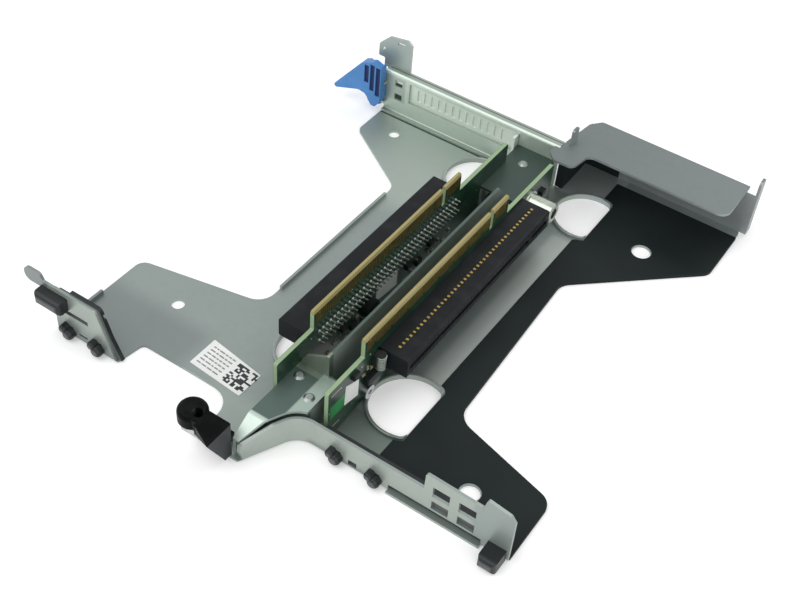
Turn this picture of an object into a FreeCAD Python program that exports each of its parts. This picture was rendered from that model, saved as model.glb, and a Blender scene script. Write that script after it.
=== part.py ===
import FreeCAD, Part
import math
import os

# Riser cage bracket of a rack server, in millimetres.
# Z = 0 is the underside of the base plate, X = 0 lies midway between the two riser boards,
# Y = 0 lies close to the middle of both card-edge tabs, +Y is the rear with the card slots and
# +Z is the side that plugs into the main board.

V = FreeCAD.Vector

# Sheet metal
SHEET = 1.0
BEND_R = 1.4
CLEAR = 0.3
SLIVER = 0.01

# Base plate seen from above
LEFT_X = -87.5
RIGHT_X = 78.0
FRONT_LEFT_Y = -78.0
FRONT_RIGHT_Y = -67.0
FRONT_WING_END_X = -62.0
TONGUE_Y = -85.5
TONGUE_LEFT_X = -22.5
TONGUE_TIP_X = -5.6
NOTCH_CORNER_X = 3.2
WAIST_LEFT_X = -41.2
WAIST_RIGHT_X = 36.4
FRONT_LEFT_WING_Y = -38.2
FRONT_LEFT_WAIST_Y = -28.6
FRONT_RIGHT_WING_Y = -42.0
FRONT_RIGHT_WAIST_Y = -31.2
REAR_LEFT_WING_Y = 69.6
REAR_LEFT_WAIST_Y = 49.6
REAR_RIGHT_WING_Y = 80.0
REAR_RIGHT_WAIST_Y = 42.5
REAR_LEFT_X = -72.0
REAR_RIGHT_X = 74.8
REAR_LEFT_Y = 88.0
REAR_RIGHT_Y = 109.0
STEP_X = 8.6

# Round holes of the base plate: centre x, centre y, radius
SMALL_HOLES = {
    "front_left": (-63.7, -46.5, 2.3),
    "rear_left": (-59.1, 75.8, 2.2),
    "front_right": (56.7, -53.4, 3.3),
    "rear_right": (50.2, 75.1, 3.5),
}
LARGE_HOLES = {
    "front_left": (-14.5, -36.0, 12.5),
    "rear_left": (-18.2, 72.1, 12.1),
    "front_right": (23.4, -37.1, 12.8),
    "rear_right": (25.3, 79.0, 12.1),
}
COLLAR_H = 1.0
LIP_H = 1.6

# Front flanges
LEFT_FLANGE_H = 19.5
LEFT_FLANGE_SLOPE_X = -69.0
RIGHT_FLANGE_H = 11.3
RIGHT_FLANGE_STEP_X = 48.2
RIGHT_FLANGE_STEP_H = 18.3
RIGHT_EAR_X = 67.6
RIGHT_EAR_H = 22.1
RIGHT_EAR_END_H = 20.9
WINDOW_W = 5.8
WINDOW_X = (51.2, 60.1)
WINDOW_Z = ((4.0, 7.6), (9.7, 14.1))
LONG_SLOT_X = (36.1, 68.6)
LONG_SLOT_TOP = 3.2
RIGHT_SLIT = (21.5, 24.6, 1.7, 3.8)
LONG_SLOT_LIP = 1.2
CURVED_TIP_H = 8.0
CURVED_TIP_CUT = 1.2
HOOK_X = -99.5
HOOK_H = 5.8

# Riser boards, with a card-edge tab that stands up
BOARD_T = 1.57
BOARD_FACE_X = 8.9
BOARD_FRONT_Y = -62.5
BOARD_TOP = 21.5
TAB_FRONT_Y = -44.0
TAB_L = 85.2
TAB_TOP = 29.5
TAB_KEY_FROM_FRONT = 73.25
TAB_KEY_W = 1.9
TAB_BEVEL = 1.4

# Card connectors, one on the outer face of each board
CONNECTOR_L = 89.0
LEFT_CONNECTOR_Y = -45.7
RIGHT_CONNECTOR_Y = -36.4
CONNECTOR_KEY_FROM_FRONT = 74.95
CONNECTOR_H = 7.5
CONNECTOR_DEPTH = 11.0
CONNECTOR_MID_Z = 16.65
CARD_SLOT_W = 1.8
CARD_SLOT_DEPTH = 8.6
CARD_SLOT_END = 1.5
TAIL_PITCH = 2.0
TAIL_COUNT = 41
TAIL_L = 2.0
TAIL_W = 0.6
TAIL_ROW_Z = 2.1

# Divider sheet between the boards
CAP_TOP = 13.0
WEB_X = 1.2
WEB_TOP = 22.4
WEB_FRONT_Y = -50.0
WEB_REAR_Y = 50.0
REAR_CAP_Y = 57.0
FRONT_CAP_RIGHT_X = 5.3
CAP_SLOPE_Y = -76.5
CAP_TIP_Y = -83.9
CLIP_L = 8.0
CLIP_Y = (-46.0, 38.0)
CLIP_TOP = 8.0
REAR_CAP_LEFT_X = -10.4
FACET_X = -6.7
FACET_Z = 17.5

# Rear wall with its card slot on the left
WALL_TOP = 20.0
WALL_FRONT_Y = 87.0
WALL_RIGHT_X = 6.4
RETURN_DEPTH = 4.0
FOOT_DEPTH = 1.7
SLOT_LEFT_X = -60.5
SLOT_RIGHT_X = -10.5
SLOT_BOTTOM = 8.9
SLOT_TOP = 17.8
FILLER_EDGE = 1.8
FILLER_LEFT_X = -68.5
VENT_DEPTH = 0.5
VENT_W = 1.9
VENT_PITCH = 3.2
VENT_H = 5.6
VENT_COUNT = 13
TAB_PLATE_TOP = 34.2

# Cover over the right-hand slot
COVER_TOP = 20.0
COVER_FRONT_Y = 89.5
COVER_RIGHT_X = 72.6
COVER_WALL_RIGHT_X = 76.0
COVER_SIDE_FRONT_Y = 88.4
COVER_REAR_Y = 111.0
FIN_TOP = 25.5
FIN_REAR_Y = 112.0
UPSTAND_TOP = 26.5
UPSTAND_X = 8.6
UPSTAND_L = 3.9

# Blue latch on a vertical pin at the left end of the rear wall
PIN_X = -76.0
PIN_Y = 87.5
PIN_R = 1.25
PIN_RUNNING = 0.05
PIN_HEAD_R = 2.0
HUB_R = 3.6
HUB_TOP = 17.0
EAR_R = 2.5
EAR_Z = (5.0, 14.0)
LATCH_BOTTOM = 3.6
LATCH_TOP = 24.0
LATCH_FRONT_Y = 82.6
LATCH_BACK_Y = 86.5
LATCH_TIP_X = -95.5
LATCH_RIGHT_X = -71.4
LATCH_FIN_Z = 8.4
GROOVE_W = 2.1
GROOVE_DEPTH = 0.6
GROOVE_X = (-79.2, -76.5, -73.8)
GROOVE_Z = ((13.3, 21.4), (10.3, 22.5), (8.8, 22.1))

# Moulded card guides behind the front flanges
LEFT_GUIDE_T = 1.5
RIGHT_GUIDE_T = 3.0
GUIDE_GROOVE_W = 1.8
GUIDE_GROOVE_DEPTH = 0.7
GUIDE_OVER_FLANGE = 0.4
RAIL_TOP = 8.6
SNAP_REACH = 3.0
LEFT_SNAP_X = (-82.1, -69.7)
RIGHT_SNAP_X = (16.9, 31.2)
SNAP_BOTTOM = 0.5
SNAP_STEM_W = 3.0
SNAP_STEM_Z = (2.1, 4.7)
PEG_LOW_R = 2.1
PEG_HIGH_R = 1.5

# End blocks in front of the flanges: left x, right x, bottom, top, reach forward
LEFT_BLOCK = (-92.0, -81.0, 12.6, 17.6, 4.6)
RIGHT_BLOCK = (71.0, 77.2, 0.2, 5.0, 7.0)
BLOCK_ROUND = 2.0
BLOCK_STEM_W = 3.0
BLOCK_STEM_H = 2.4

# Post on the tongue
POST_RIGHT_X = -9.0
POST_TOP = 15.0
POST_FRONT_Y = -95.2
POST_BACK_Y = -84.2
POST_BARREL_X = -22.0
POST_BARREL_Y = -86.4
POST_BARREL_R = 4.9
POST_BARREL_Z = 10.6
POST_LEFT_X = -17.5
POST_SLOPE = 1.9
POST_SLANT = 0.2
POST_SCREW_X = -15.2
POST_SCREW_Y = -82.0
POST_FOOT_TOP = 4.4
POST_CUT_X = 7.8
POST_CUT_Y = 3.8
POST_CLIP_Z = 4.4
POST_CLIP_H = 3.2
POST_CLIP_FRONT = 2.0
POST_CLIP_L = 2.6
POST_CLIP_ARM = 8.0

# Standoff on the right board, close behind the connector
STANDOFF_Z = 15.6
STANDOFF_R = 3.8
STANDOFF_FLANGE_R = 4.6
STANDOFF_L = 10.5
STANDOFF_HOLE_R = 2.0
STANDOFF_HOLE_L = 3.0
STANDOFF_Y = RIGHT_CONNECTOR_Y + CONNECTOR_L + CLEAR + STANDOFF_FLANGE_R
BOARD_REAR_Y = STANDOFF_Y + 17.5
SCREW_R = 1.5
SCREW_HEAD_R = 2.5
SCREW_HEAD_H = 1.5
SCREW_GRIP = 1.6
RIVET_R = 1.0
RIVET_HEAD_R = 1.9
RIVET_HEAD_H = 0.6

# Coil in front of the right connector
COIL_R = 1.7
COIL_X = 2.4

# Film, labels
FILM_T = 0.25
FILM_EDGE_X = 27.0
FILM_JOG_X = 29.8
FILM_REAR_JOG_X = FILM_JOG_X + 0.7
FILM_REAR_EDGE_X = FILM_EDGE_X - 1.3
FILM_REAR_JOG_Y = (65.0, 68.0, 88.6, 91.6)

# The two right-hand holes are cut off straight along the film's edge
HOLE_FLAT_X = {"front_right": FILM_JOG_X - CLEAR, "rear_right": FILM_REAR_JOG_X - CLEAR}
HOLE_CORNER_R = 2.5

# Film on the cover and thickness of the labels
FILM_EDGE_Z = 0.1
FILM_REAR_Y = 104.0
COVER_FILM_RIGHT_X = 24.0
COVER_FILM_TOP = 18.4
LABEL_T = 0.15


def box(x0, x1, y0, y1, z0, z1):
    """A block between two opposite corners."""
    return Part.makeBox(x1 - x0, y1 - y0, z1 - z0, V(x0, y0, z0))


def rod(start, axis, radius, length):
    """A round bar from a start point along an axis."""
    return Part.makeCylinder(radius, length, V(*start), V(*axis))


def outline(corners):
    """A closed face from corners (u, v, radius), each rounded by its own radius."""
    arcs = []
    count = len(corners)
    for index, (u, v, radius) in enumerate(corners):
        here = V(u, v, 0)
        to_last = V(corners[index - 1][0], corners[index - 1][1], 0).sub(here)
        following = corners[(index + 1) % count]
        to_next = V(following[0], following[1], 0).sub(here)
        to_last.normalize()
        to_next.normalize()
        if radius == 0:
            arcs.append((here, None, here))
            continue
        half = to_last.getAngle(to_next) / 2
        reach = radius / math.tan(half)
        inward = to_last.add(to_next)
        inward.normalize()
        middle = here.add(inward * (radius / math.sin(half) - radius))
        arcs.append((here.add(to_last * reach), middle, here.add(to_next * reach)))
    edges = []
    for index, (start, middle, end) in enumerate(arcs):
        if middle is not None:
            edges.append(Part.Arc(start, middle, end).toShape())
        next_start = arcs[(index + 1) % count][0]
        if end.distanceToPoint(next_start) > SLIVER:
            edges.append(Part.makeLine(end, next_start))
    return Part.Face(Part.Wire(edges))


def slab(corners, z0, z1):
    """A plan outline (x, y, radius) made solid between two heights."""
    face = outline(corners)
    face.translate(V(0, 0, z0))
    return face.extrude(V(0, 0, z1 - z0))


def panel_xz(corners, y0, y1):
    """A front-view outline (x, z, radius) made solid from y0 to y1."""
    solid = slab(corners, 0, y1 - y0)
    solid.rotate(V(0, 0, 0), V(1, 0, 0), 90)
    solid.translate(V(0, y1, 0))
    return solid


def panel_yz(corners, x0, x1):
    """A side-view outline (y, z, radius) made solid from x0 to x1."""
    solid = slab(corners, 0, x1 - x0)
    solid.rotate(V(0, 0, 0), V(1, 1, 1), 120)
    solid.translate(V(x0, 0, 0))
    return solid


def join(first, *others):
    """One solid from pieces that touch or overlap."""
    return first.fuse(list(others)).removeSplitter()


def group(solids):
    """Separate solids kept in one node."""
    return Part.makeCompound(solids)


def mirrored(solid):
    """The same piece on the other side of the middle plane."""
    return solid.mirror(V(0, 0, 0), V(1, 0, 0))


def plate_face():
    """Plan of the base plate: two wings at the front, two at the rear and a waist."""
    return outline([
        (LEFT_X, FRONT_LEFT_Y, 0),
        (FRONT_WING_END_X, FRONT_LEFT_Y, 0),
        (FRONT_WING_END_X + 1.6, FRONT_RIGHT_Y, 2.0),
        (TONGUE_LEFT_X, FRONT_RIGHT_Y, 8.5),
        (TONGUE_LEFT_X, TONGUE_Y, 2.0),
        (TONGUE_TIP_X, TONGUE_Y, 0),
        (NOTCH_CORNER_X, FRONT_RIGHT_Y, 8.0),
        (RIGHT_X, FRONT_RIGHT_Y, 0),
        (RIGHT_X, FRONT_RIGHT_WING_Y, 5.0),
        (WAIST_RIGHT_X + 1.8, FRONT_RIGHT_WAIST_Y, 8.0),
        (WAIST_RIGHT_X - 1.6, REAR_RIGHT_WAIST_Y, 7.0),
        (REAR_RIGHT_X, REAR_RIGHT_WING_Y, 5.0),
        (REAR_RIGHT_X, REAR_RIGHT_Y, 2.5),
        (STEP_X, REAR_RIGHT_Y, 0),
        (STEP_X, REAR_LEFT_Y, 0),
        (REAR_LEFT_X, REAR_LEFT_Y, 1.0),
        (REAR_LEFT_X, REAR_LEFT_WING_Y, 4.0),
        (WAIST_LEFT_X, REAR_LEFT_WAIST_Y, 7.0),
        (WAIST_LEFT_X, FRONT_LEFT_WAIST_Y, 7.0),
        (LEFT_X, FRONT_LEFT_WING_Y, 4.0),
    ])


def inset_slab(distance, z0, z1):
    """The plate's plan drawn in by a distance and made solid between two heights."""
    face = plate_face().makeOffset2D(-distance)
    face.translate(V(0, 0, z0))
    return face.extrude(V(0, 0, z1 - z0))


def edge_band(region, height):
    """A wall one sheet thick that stands on the plate's edge inside a region."""
    full = plate_face().extrude(V(0, 0, height))
    return full.cut(inset_slab(SHEET, -SHEET, height + SHEET)).common(region)


def left_flange_shape():
    """Front view of the left flange, with the hook at its far end."""
    body = panel_xz([
        (LEFT_X, 0, 0),
        (FRONT_WING_END_X, 0, 0),
        (FRONT_WING_END_X - 3.4, 8.9, 1.5),
        (LEFT_FLANGE_SLOPE_X, LEFT_FLANGE_H, 2.0),
        (LEFT_X, LEFT_FLANGE_H, 1.0),
    ], FRONT_LEFT_Y - SLIVER, FRONT_LEFT_Y + SHEET + SLIVER)
    return body


def left_hook():
    """Ear that reaches out from the upper end of the left flange."""
    neck_x = LEFT_X + 2.0
    low = LEFT_FLANGE_H - 3.2
    return panel_xz([
        (neck_x, low, 0),
        (neck_x, LEFT_FLANGE_H - 0.2, 0),
        (LEFT_X - 3.6, LEFT_FLANGE_H - 0.2, 1.0),
        (LEFT_X - 5.0, low + HOOK_H, 1.2),
        (HOOK_X, low + HOOK_H, 2.6),
        (HOOK_X, low, 2.6),
    ], FRONT_LEFT_Y, FRONT_LEFT_Y + SHEET)


def right_flange_shape():
    """Front view of the right flange, stepped up to the right, and of the curved wall."""
    straight = panel_xz([
        (NOTCH_CORNER_X, 0, 0),
        (RIGHT_X, 0, 0),
        (RIGHT_X, RIGHT_EAR_END_H - 2.2, 0.6),
        (RIGHT_X - 1.8, RIGHT_EAR_END_H, 0.6),
        (RIGHT_EAR_X + 1.0, RIGHT_EAR_H, 0.5),
        (RIGHT_EAR_X, RIGHT_FLANGE_STEP_H - 0.6, 0.4),
        (RIGHT_FLANGE_STEP_X + 0.2, RIGHT_FLANGE_STEP_H, 0.8),
        (RIGHT_FLANGE_STEP_X, RIGHT_FLANGE_H, 0.4),
        (NOTCH_CORNER_X, RIGHT_FLANGE_H, 0),
    ], FRONT_RIGHT_Y - SLIVER, FRONT_RIGHT_Y + SHEET + SLIVER)
    curved = panel_yz([
        (FRONT_RIGHT_Y + SHEET + SLIVER, 0, 0),
        (FRONT_RIGHT_Y + SHEET + SLIVER, RIGHT_FLANGE_H, 0),
        (CAP_SLOPE_Y + 2.0, RIGHT_FLANGE_H, 3.0),
        (TONGUE_Y + 1.0, CURVED_TIP_H, 1.5),
        (TONGUE_Y + 0.4, CURVED_TIP_H - 3.0, 0.5),
        (TONGUE_Y + CURVED_TIP_CUT, SHEET, 0.5),
        (TONGUE_Y + CURVED_TIP_CUT, 0, 0),
    ], TONGUE_TIP_X - 2.0, FRONT_CAP_RIGHT_X + 8.0)
    return straight.fuse(curved)


def bent_edges(solid):
    """The outer bottom edges along which the front flanges are folded up."""
    found = []
    for edge in solid.Edges:
        middle = edge.valueAt((edge.FirstParameter + edge.LastParameter) / 2)
        low = max(vertex.Z for vertex in edge.Vertexes) < SLIVER and middle.z < SLIVER
        on_left = abs(middle.y - FRONT_LEFT_Y) < SLIVER
        on_right = middle.y < FRONT_RIGHT_Y + SLIVER and middle.x > TONGUE_TIP_X + 1.0
        if low and edge.Length > 2.0 and (on_left or on_right):
            found.append(edge)
    return found


def window(x0, x1, z0, z1, front_y):
    """A cutter through a front flange."""
    return box(x0, x1, front_y - 2 * SHEET, front_y + 2 * SHEET, z0, z1)


def flange_cutouts():
    """Windows, slots and snap holes of both front flanges."""
    cutters = []
    for x in WINDOW_X:
        for low, high in WINDOW_Z:
            cutters.append(window(x, x + WINDOW_W, low, high, FRONT_RIGHT_Y))
    slot_left, slot_right = LONG_SLOT_X
    cutters.append(window(slot_left, slot_right, SHEET, LONG_SLOT_TOP, FRONT_RIGHT_Y))
    cutters.append(window(*RIGHT_SLIT, FRONT_RIGHT_Y))
    slot_top = LEFT_FLANGE_H - 7.5
    cutters.append(window(-84.5, -73.0, slot_top - 1.8, slot_top, FRONT_LEFT_Y))
    cutters.append(window(-77.9, -74.2, 3.1, 3.9, FRONT_LEFT_Y))
    for centre in LEFT_SNAP_X:
        cutters.append(snap_hole(centre, FRONT_LEFT_Y))
    for centre in RIGHT_SNAP_X:
        cutters.append(snap_hole(centre, FRONT_RIGHT_Y))
    cutters.append(block_hole(LEFT_BLOCK, FRONT_LEFT_Y))
    cutters.append(block_hole(RIGHT_BLOCK, FRONT_RIGHT_Y))
    return cutters


def snap_hole(centre, front_y):
    """The hole that a moulded snap passes through, a clearance larger all round."""
    half = SNAP_STEM_W / 2 + CLEAR
    low, high = SNAP_STEM_Z
    return window(centre - half, centre + half, low - CLEAR, high + CLEAR, front_y)


def block_stem(block, margin, y0, y1):
    """The stem that carries an end block through its flange."""
    left, right, low, high, _ = block
    middle_x = right - 0.35 * (right - left)
    middle_z = (low + high) / 2 + 0.8
    half_w = BLOCK_STEM_W / 2 + margin
    half_h = BLOCK_STEM_H / 2 + margin
    return box(middle_x - half_w, middle_x + half_w, y0, y1, middle_z - half_h, middle_z + half_h)


def block_hole(block, front_y):
    """The hole in a flange for an end block's stem."""
    return block_stem(block, CLEAR, front_y - 2 * SHEET, front_y + 2 * SHEET)


def hole_plug(side, margin, low, high):
    """The shape of a large hole grown by a margin, between two heights."""
    x, y, radius = LARGE_HOLES[side]
    plug = rod((x, y, low), (0, 0, 1), radius + margin, high - low)
    if side not in HOLE_FLAT_X:
        return plug
    flat = HOLE_FLAT_X[side] + margin
    plug = plug.common(box(x - 2 * radius, flat, y - 2 * radius, y + 2 * radius, low, high))
    corners = [edge for edge in plug.Edges
               if edge.BoundBox.XMin > flat - SLIVER and edge.BoundBox.ZLength > (high - low) / 2]
    return plug.makeFillet(HOLE_CORNER_R + margin, corners)


def hole_collar(side):
    """The raised collar of a large hole, open where the film's edge cuts the hole off."""
    collar = hole_plug(side, SHEET, 0, SHEET + COLLAR_H)
    if side not in HOLE_FLAT_X:
        return collar
    beyond = HOLE_FLAT_X[side]
    x, y, radius = LARGE_HOLES[side]
    return collar.cut(box(beyond, x + 2 * radius, y - 2 * radius, y + 2 * radius, SHEET, 4 * SHEET))


def make_cage_plate():
    """Base plate with both front flanges, the curved wall, waist lip and hole collars."""
    base = plate_face().extrude(V(0, 0, SHEET))
    tall = RIGHT_EAR_H + SHEET
    left_region = box(LEFT_X - 1, FRONT_WING_END_X + 1, FRONT_LEFT_Y - 1, FRONT_LEFT_Y + SHEET, 0, tall)
    right_region = box(TONGUE_TIP_X - SHEET, RIGHT_X + 1, TONGUE_Y - 1, FRONT_RIGHT_Y + SHEET, 0, tall)
    body = join(base, edge_band(left_region, tall), edge_band(right_region, tall))
    body = body.makeFillet(BEND_R, bent_edges(body))
    above = box(LEFT_X - 1, RIGHT_X + 1, TONGUE_Y - 1, FRONT_RIGHT_Y + SHEET + 1, SHEET, tall + 1)
    body = body.cut(above.cut(left_flange_shape().fuse(right_flange_shape())))
    lip_region = box(WAIST_LEFT_X - 1, WAIST_LEFT_X + 3, -20.0, 43.0, 0, SHEET + LIP_H)
    lip = edge_band(lip_region, SHEET + LIP_H)
    side_region = box(LEFT_X - 1, LEFT_X + 3, FRONT_LEFT_Y + 3.5, FRONT_LEFT_Y + 20.0, 0, SHEET + LIP_H)
    side_lip = edge_band(side_region, SHEET + LIP_H)
    slot_left, slot_right = LONG_SLOT_X
    lip_front = FRONT_RIGHT_Y - LONG_SLOT_LIP
    slot_lip = box(slot_left, slot_right, lip_front, FRONT_RIGHT_Y + BEND_R, 0, SHEET)
    collars = []
    bores = []
    for side in LARGE_HOLES:
        collars.append(hole_collar(side))
        bores.append(hole_plug(side, 0, -1, SHEET + COLLAR_H + 1))
    for x, y, radius in SMALL_HOLES.values():
        bores.append(rod((x, y, -1), (0, 0, 1), radius, SHEET + 2))
    for x, y in rivet_places():
        bores.append(rod((x, y, -1), (0, 0, 1), RIVET_R, SHEET + 2))
    body = join(body, lip, side_lip, left_hook(), slot_lip, *collars)
    post_hole = rod((POST_SCREW_X, POST_SCREW_Y, -1), (0, 0, 1), SCREW_R, SHEET + 2)
    body = body.cut(flange_cutouts() + bores + [post_hole])
    return body.removeSplitter()


def board_corners():
    """Side view of a riser board: shoulder, card-edge tab and key notch."""
    tab_rear = TAB_FRONT_Y + TAB_L
    bottom = SHEET + COLLAR_H
    return [
        (BOARD_FRONT_Y, bottom, 0.8),
        (BOARD_REAR_Y, bottom, 0.8),
        (BOARD_REAR_Y, BOARD_TOP, 0.8),
        (tab_rear, BOARD_TOP, 0.5),
        (tab_rear, TAB_TOP, 0.4),
        (TAB_FRONT_Y, TAB_TOP, 0.4),
        (TAB_FRONT_Y, BOARD_TOP, 0.5),
        (BOARD_FRONT_Y, BOARD_TOP, 0.8),
    ]


def board_screw_places():
    """Where screws hold the boards: side, y and z."""
    places = [("left", BOARD_FRONT_Y + 5.5, 7.0), ("left", BOARD_REAR_Y - 13.0, 7.0)]
    for y in CLIP_Y:
        places.append(("right", y + CLIP_L / 2, 5.0))
    return places


def make_left_board():
    """Left riser board, the tab's tip bevelled on both faces."""
    outer = -BOARD_FACE_X - BOARD_T
    inner = -BOARD_FACE_X
    board = panel_yz(board_corners(), outer, inner)
    key_y = TAB_FRONT_Y + TAB_KEY_FROM_FRONT
    key = box(outer - 1, inner + 1, key_y, key_y + TAB_KEY_W, BOARD_TOP + 0.6, TAB_TOP + 1)
    bevel = 0.3
    before = TAB_FRONT_Y - 1
    after = TAB_FRONT_Y + TAB_L + 1
    low = TAB_TOP - TAB_BEVEL
    left_wedge = panel_xz([
        (outer - 1, low, 0), (outer, low, 0), (outer + bevel, TAB_TOP, 0),
        (outer + bevel, TAB_TOP + 1, 0), (outer - 1, TAB_TOP + 1, 0),
    ], before, after)
    right_wedge = panel_xz([
        (inner, low, 0), (inner + 1, low, 0), (inner + 1, TAB_TOP + 1, 0),
        (inner - bevel, TAB_TOP + 1, 0), (inner - bevel, TAB_TOP, 0),
    ], before, after)
    return board.cut([key, left_wedge, right_wedge])


def board_bore(y, z, side):
    """A screw hole through a board."""
    x = -BOARD_FACE_X - BOARD_T - 1 if side == "left" else BOARD_FACE_X - 1
    return rod((x, y, z), (1, 0, 0), SCREW_R, BOARD_T + 2)


def make_boards():
    """Both riser boards with their own screw holes."""
    left = make_left_board()
    right = mirrored(left)
    left_bores = [board_bore(y, z, side) for side, y, z in board_screw_places() if side == "left"]
    right_bores = [board_bore(y, z, side) for side, y, z in board_screw_places() if side == "right"]
    right_bores.append(board_bore(STANDOFF_Y, STANDOFF_Z, "right"))
    return left.cut(left_bores), right.cut(right_bores)


def left_connector(y0):
    """Card connector on the left board from y0 rearwards, its card slot open to the left."""
    back = -BOARD_FACE_X - BOARD_T
    front = back - CONNECTOR_DEPTH
    y1 = y0 + CONNECTOR_L
    low = CONNECTOR_MID_Z - CONNECTOR_H / 2
    high = CONNECTOR_MID_Z + CONNECTOR_H / 2
    body = panel_xz([(front, low, 0.8), (back, low, 0), (back, high, 0), (front, high, 0.8)], y0, y1)
    half = CARD_SLOT_W / 2
    key_y = y0 + CONNECTOR_KEY_FROM_FRONT
    slot_z = (CONNECTOR_MID_Z - half, CONNECTOR_MID_Z + half)
    bottom = front + CARD_SLOT_DEPTH
    long_slot = box(front - 1, bottom, y0 + CARD_SLOT_END, key_y, *slot_z)
    short_slot = box(front - 1, bottom, key_y + TAB_KEY_W, y1 - CARD_SLOT_END, *slot_z)
    return body.cut([long_slot, short_slot])


def left_tails(y0):
    """Solder tails of a left connector that starts at y0, out of the board's inner face."""
    tails = []
    first_y = y0 + (CONNECTOR_L - (TAIL_COUNT - 1) * TAIL_PITCH) / 2
    half = TAIL_W / 2
    for row in (-1, 1):
        z = CONNECTOR_MID_Z + row * TAIL_ROW_Z
        for index in range(TAIL_COUNT):
            y = first_y + index * TAIL_PITCH
            x = -BOARD_FACE_X
            tails.append(box(x, x + TAIL_L, y - half, y + half, z - half, z + half))
    return group(tails)


def front_cap():
    """Front end of the divider: a raised ledge that slopes down towards the tongue."""
    cap_bottom = CAP_TOP - SHEET
    tip_top = CURVED_TIP_H + 0.3
    left = -BOARD_FACE_X
    ledge = panel_yz([
        (WEB_FRONT_Y, cap_bottom, 0),
        (WEB_FRONT_Y, CAP_TOP, 0),
        (CAP_SLOPE_Y, CAP_TOP, 2.0),
        (CAP_TIP_Y, tip_top, 0),
        (CAP_TIP_Y, tip_top - SHEET, 0),
        (CAP_SLOPE_Y + 0.4, cap_bottom, 1.0),
    ], left, FRONT_CAP_RIGHT_X)
    ledge = ledge.common(inset_slab(SHEET + 0.6, 0, CAP_TOP + 1))
    skirt = panel_yz([
        (WEB_FRONT_Y, SHEET, 0),
        (WEB_FRONT_Y, CAP_TOP, 0),
        (CAP_SLOPE_Y, CAP_TOP, 2.0),
        (CAP_TIP_Y, tip_top, 0),
        (CAP_TIP_Y, SHEET, 0),
    ], left, left + SHEET)
    right_skirt = box(FRONT_CAP_RIGHT_X - SHEET, FRONT_CAP_RIGHT_X, -64.0, WEB_FRONT_Y, SHEET, CAP_TOP)
    facet = panel_xz([
        (left, cap_bottom, 0),
        (WEB_X + SHEET, cap_bottom, 0),
        (WEB_X + SHEET, WEB_TOP, 0.4),
        (FACET_X, FACET_Z, 0.8),
        (left, CAP_TOP, 0),
    ], WEB_FRONT_Y - SHEET, WEB_FRONT_Y)
    return ledge, skirt, right_skirt, facet


def rear_cap():
    """Rear end of the divider: a ledge between the boards and the rear wall."""
    left = -BOARD_FACE_X
    right = FRONT_CAP_RIGHT_X
    cap_bottom = CAP_TOP - SHEET
    board_end = BOARD_REAR_Y + CLEAR
    ledge = slab([
        (left, REAR_CAP_Y, 0),
        (right, REAR_CAP_Y, 1.0),
        (right, WALL_FRONT_Y, 0.5),
        (REAR_CAP_LEFT_X, WALL_FRONT_Y, 0.5),
        (REAR_CAP_LEFT_X, board_end, 0.5),
        (left, board_end, 0),
    ], cap_bottom, CAP_TOP)
    over_collar = SHEET + COLLAR_H + 0.6
    skirt = panel_yz([
        (REAR_CAP_Y, SHEET, 0),
        (REAR_CAP_Y, CAP_TOP, 0),
        (WALL_FRONT_Y, CAP_TOP, 0),
        (WALL_FRONT_Y, over_collar, 0),
        (REAR_CAP_Y + 3.0, over_collar, 0),
        (REAR_CAP_Y + 3.0, SHEET, 0),
    ], left, left + SHEET)
    skirt_end = WALL_FRONT_Y - FOOT_DEPTH
    right_skirt = box(right - SHEET, right, REAR_CAP_Y + 2, skirt_end, SHEET, CAP_TOP)
    return ledge, skirt, right_skirt


def rivet_places():
    """Rivets that hold the divider's feet to the plate: x and y."""
    middle_x = (WEB_X + SHEET + BOARD_FACE_X) / 2
    return [(middle_x, y + CLIP_L / 2) for y in CLIP_Y]


def make_divider():
    """Folded divider: upright web, front and rear ledges, and clips for the right board."""
    web = panel_yz([
        (WEB_FRONT_Y - SHEET, SHEET, 0),
        (WEB_FRONT_Y - SHEET, WEB_TOP, 0.5),
        (WEB_REAR_Y, WEB_TOP, 2.0),
        (REAR_CAP_Y, CAP_TOP, 0),
        (REAR_CAP_Y + SHEET, CAP_TOP, 0),
        (REAR_CAP_Y + SHEET, SHEET, 0),
    ], WEB_X, WEB_X + SHEET)
    pieces = list(front_cap()) + list(rear_cap())
    for y in CLIP_Y:
        pieces.append(box(WEB_X, BOARD_FACE_X, y, y + CLIP_L, SHEET, 2 * SHEET))
        pieces.append(box(BOARD_FACE_X - SHEET, BOARD_FACE_X, y, y + CLIP_L, SHEET, CLIP_TOP))
    body = join(web, *pieces)
    bores = []
    for x, y in rivet_places():
        bores.append(rod((x, y, 0), (0, 0, 1), RIVET_R, 3 * SHEET))
    for side, y, z in board_screw_places():
        x = -BOARD_FACE_X - 1 if side == "left" else BOARD_FACE_X - SHEET - 1
        bores.append(rod((x, y, z), (1, 0, 0), SCREW_R, SHEET + 2))
    for x, y in cap_rivet_places():
        bores.append(rod((x, y, CAP_TOP - 2 * SHEET), (0, 0, 1), RIVET_R, 3 * SHEET))
    return body.cut(bores)


def cap_rivet_places():
    """Bright rivets on the divider's ledges: x and y."""
    return [(-5.6, -55.6), (2.2, -61.0), (-3.1, 78.0)]


def rivet(x, y, bottom, top):
    """A rivet whose shank fills its hole, with a low domed head on top."""
    shank = rod((x, y, bottom), (0, 0, 1), RIVET_R, top - bottom)
    head = Part.makeCone(RIVET_HEAD_R, RIVET_HEAD_R * 0.6, RIVET_HEAD_H, V(x, y, top))
    return join(shank, head)


def make_rivets():
    """All rivets of the divider."""
    foot = [rivet(x, y, 0, 2 * SHEET) for x, y in rivet_places()]
    cap = [rivet(x, y, CAP_TOP - SHEET, CAP_TOP) for x, y in cap_rivet_places()]
    return group(foot + cap)


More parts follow.
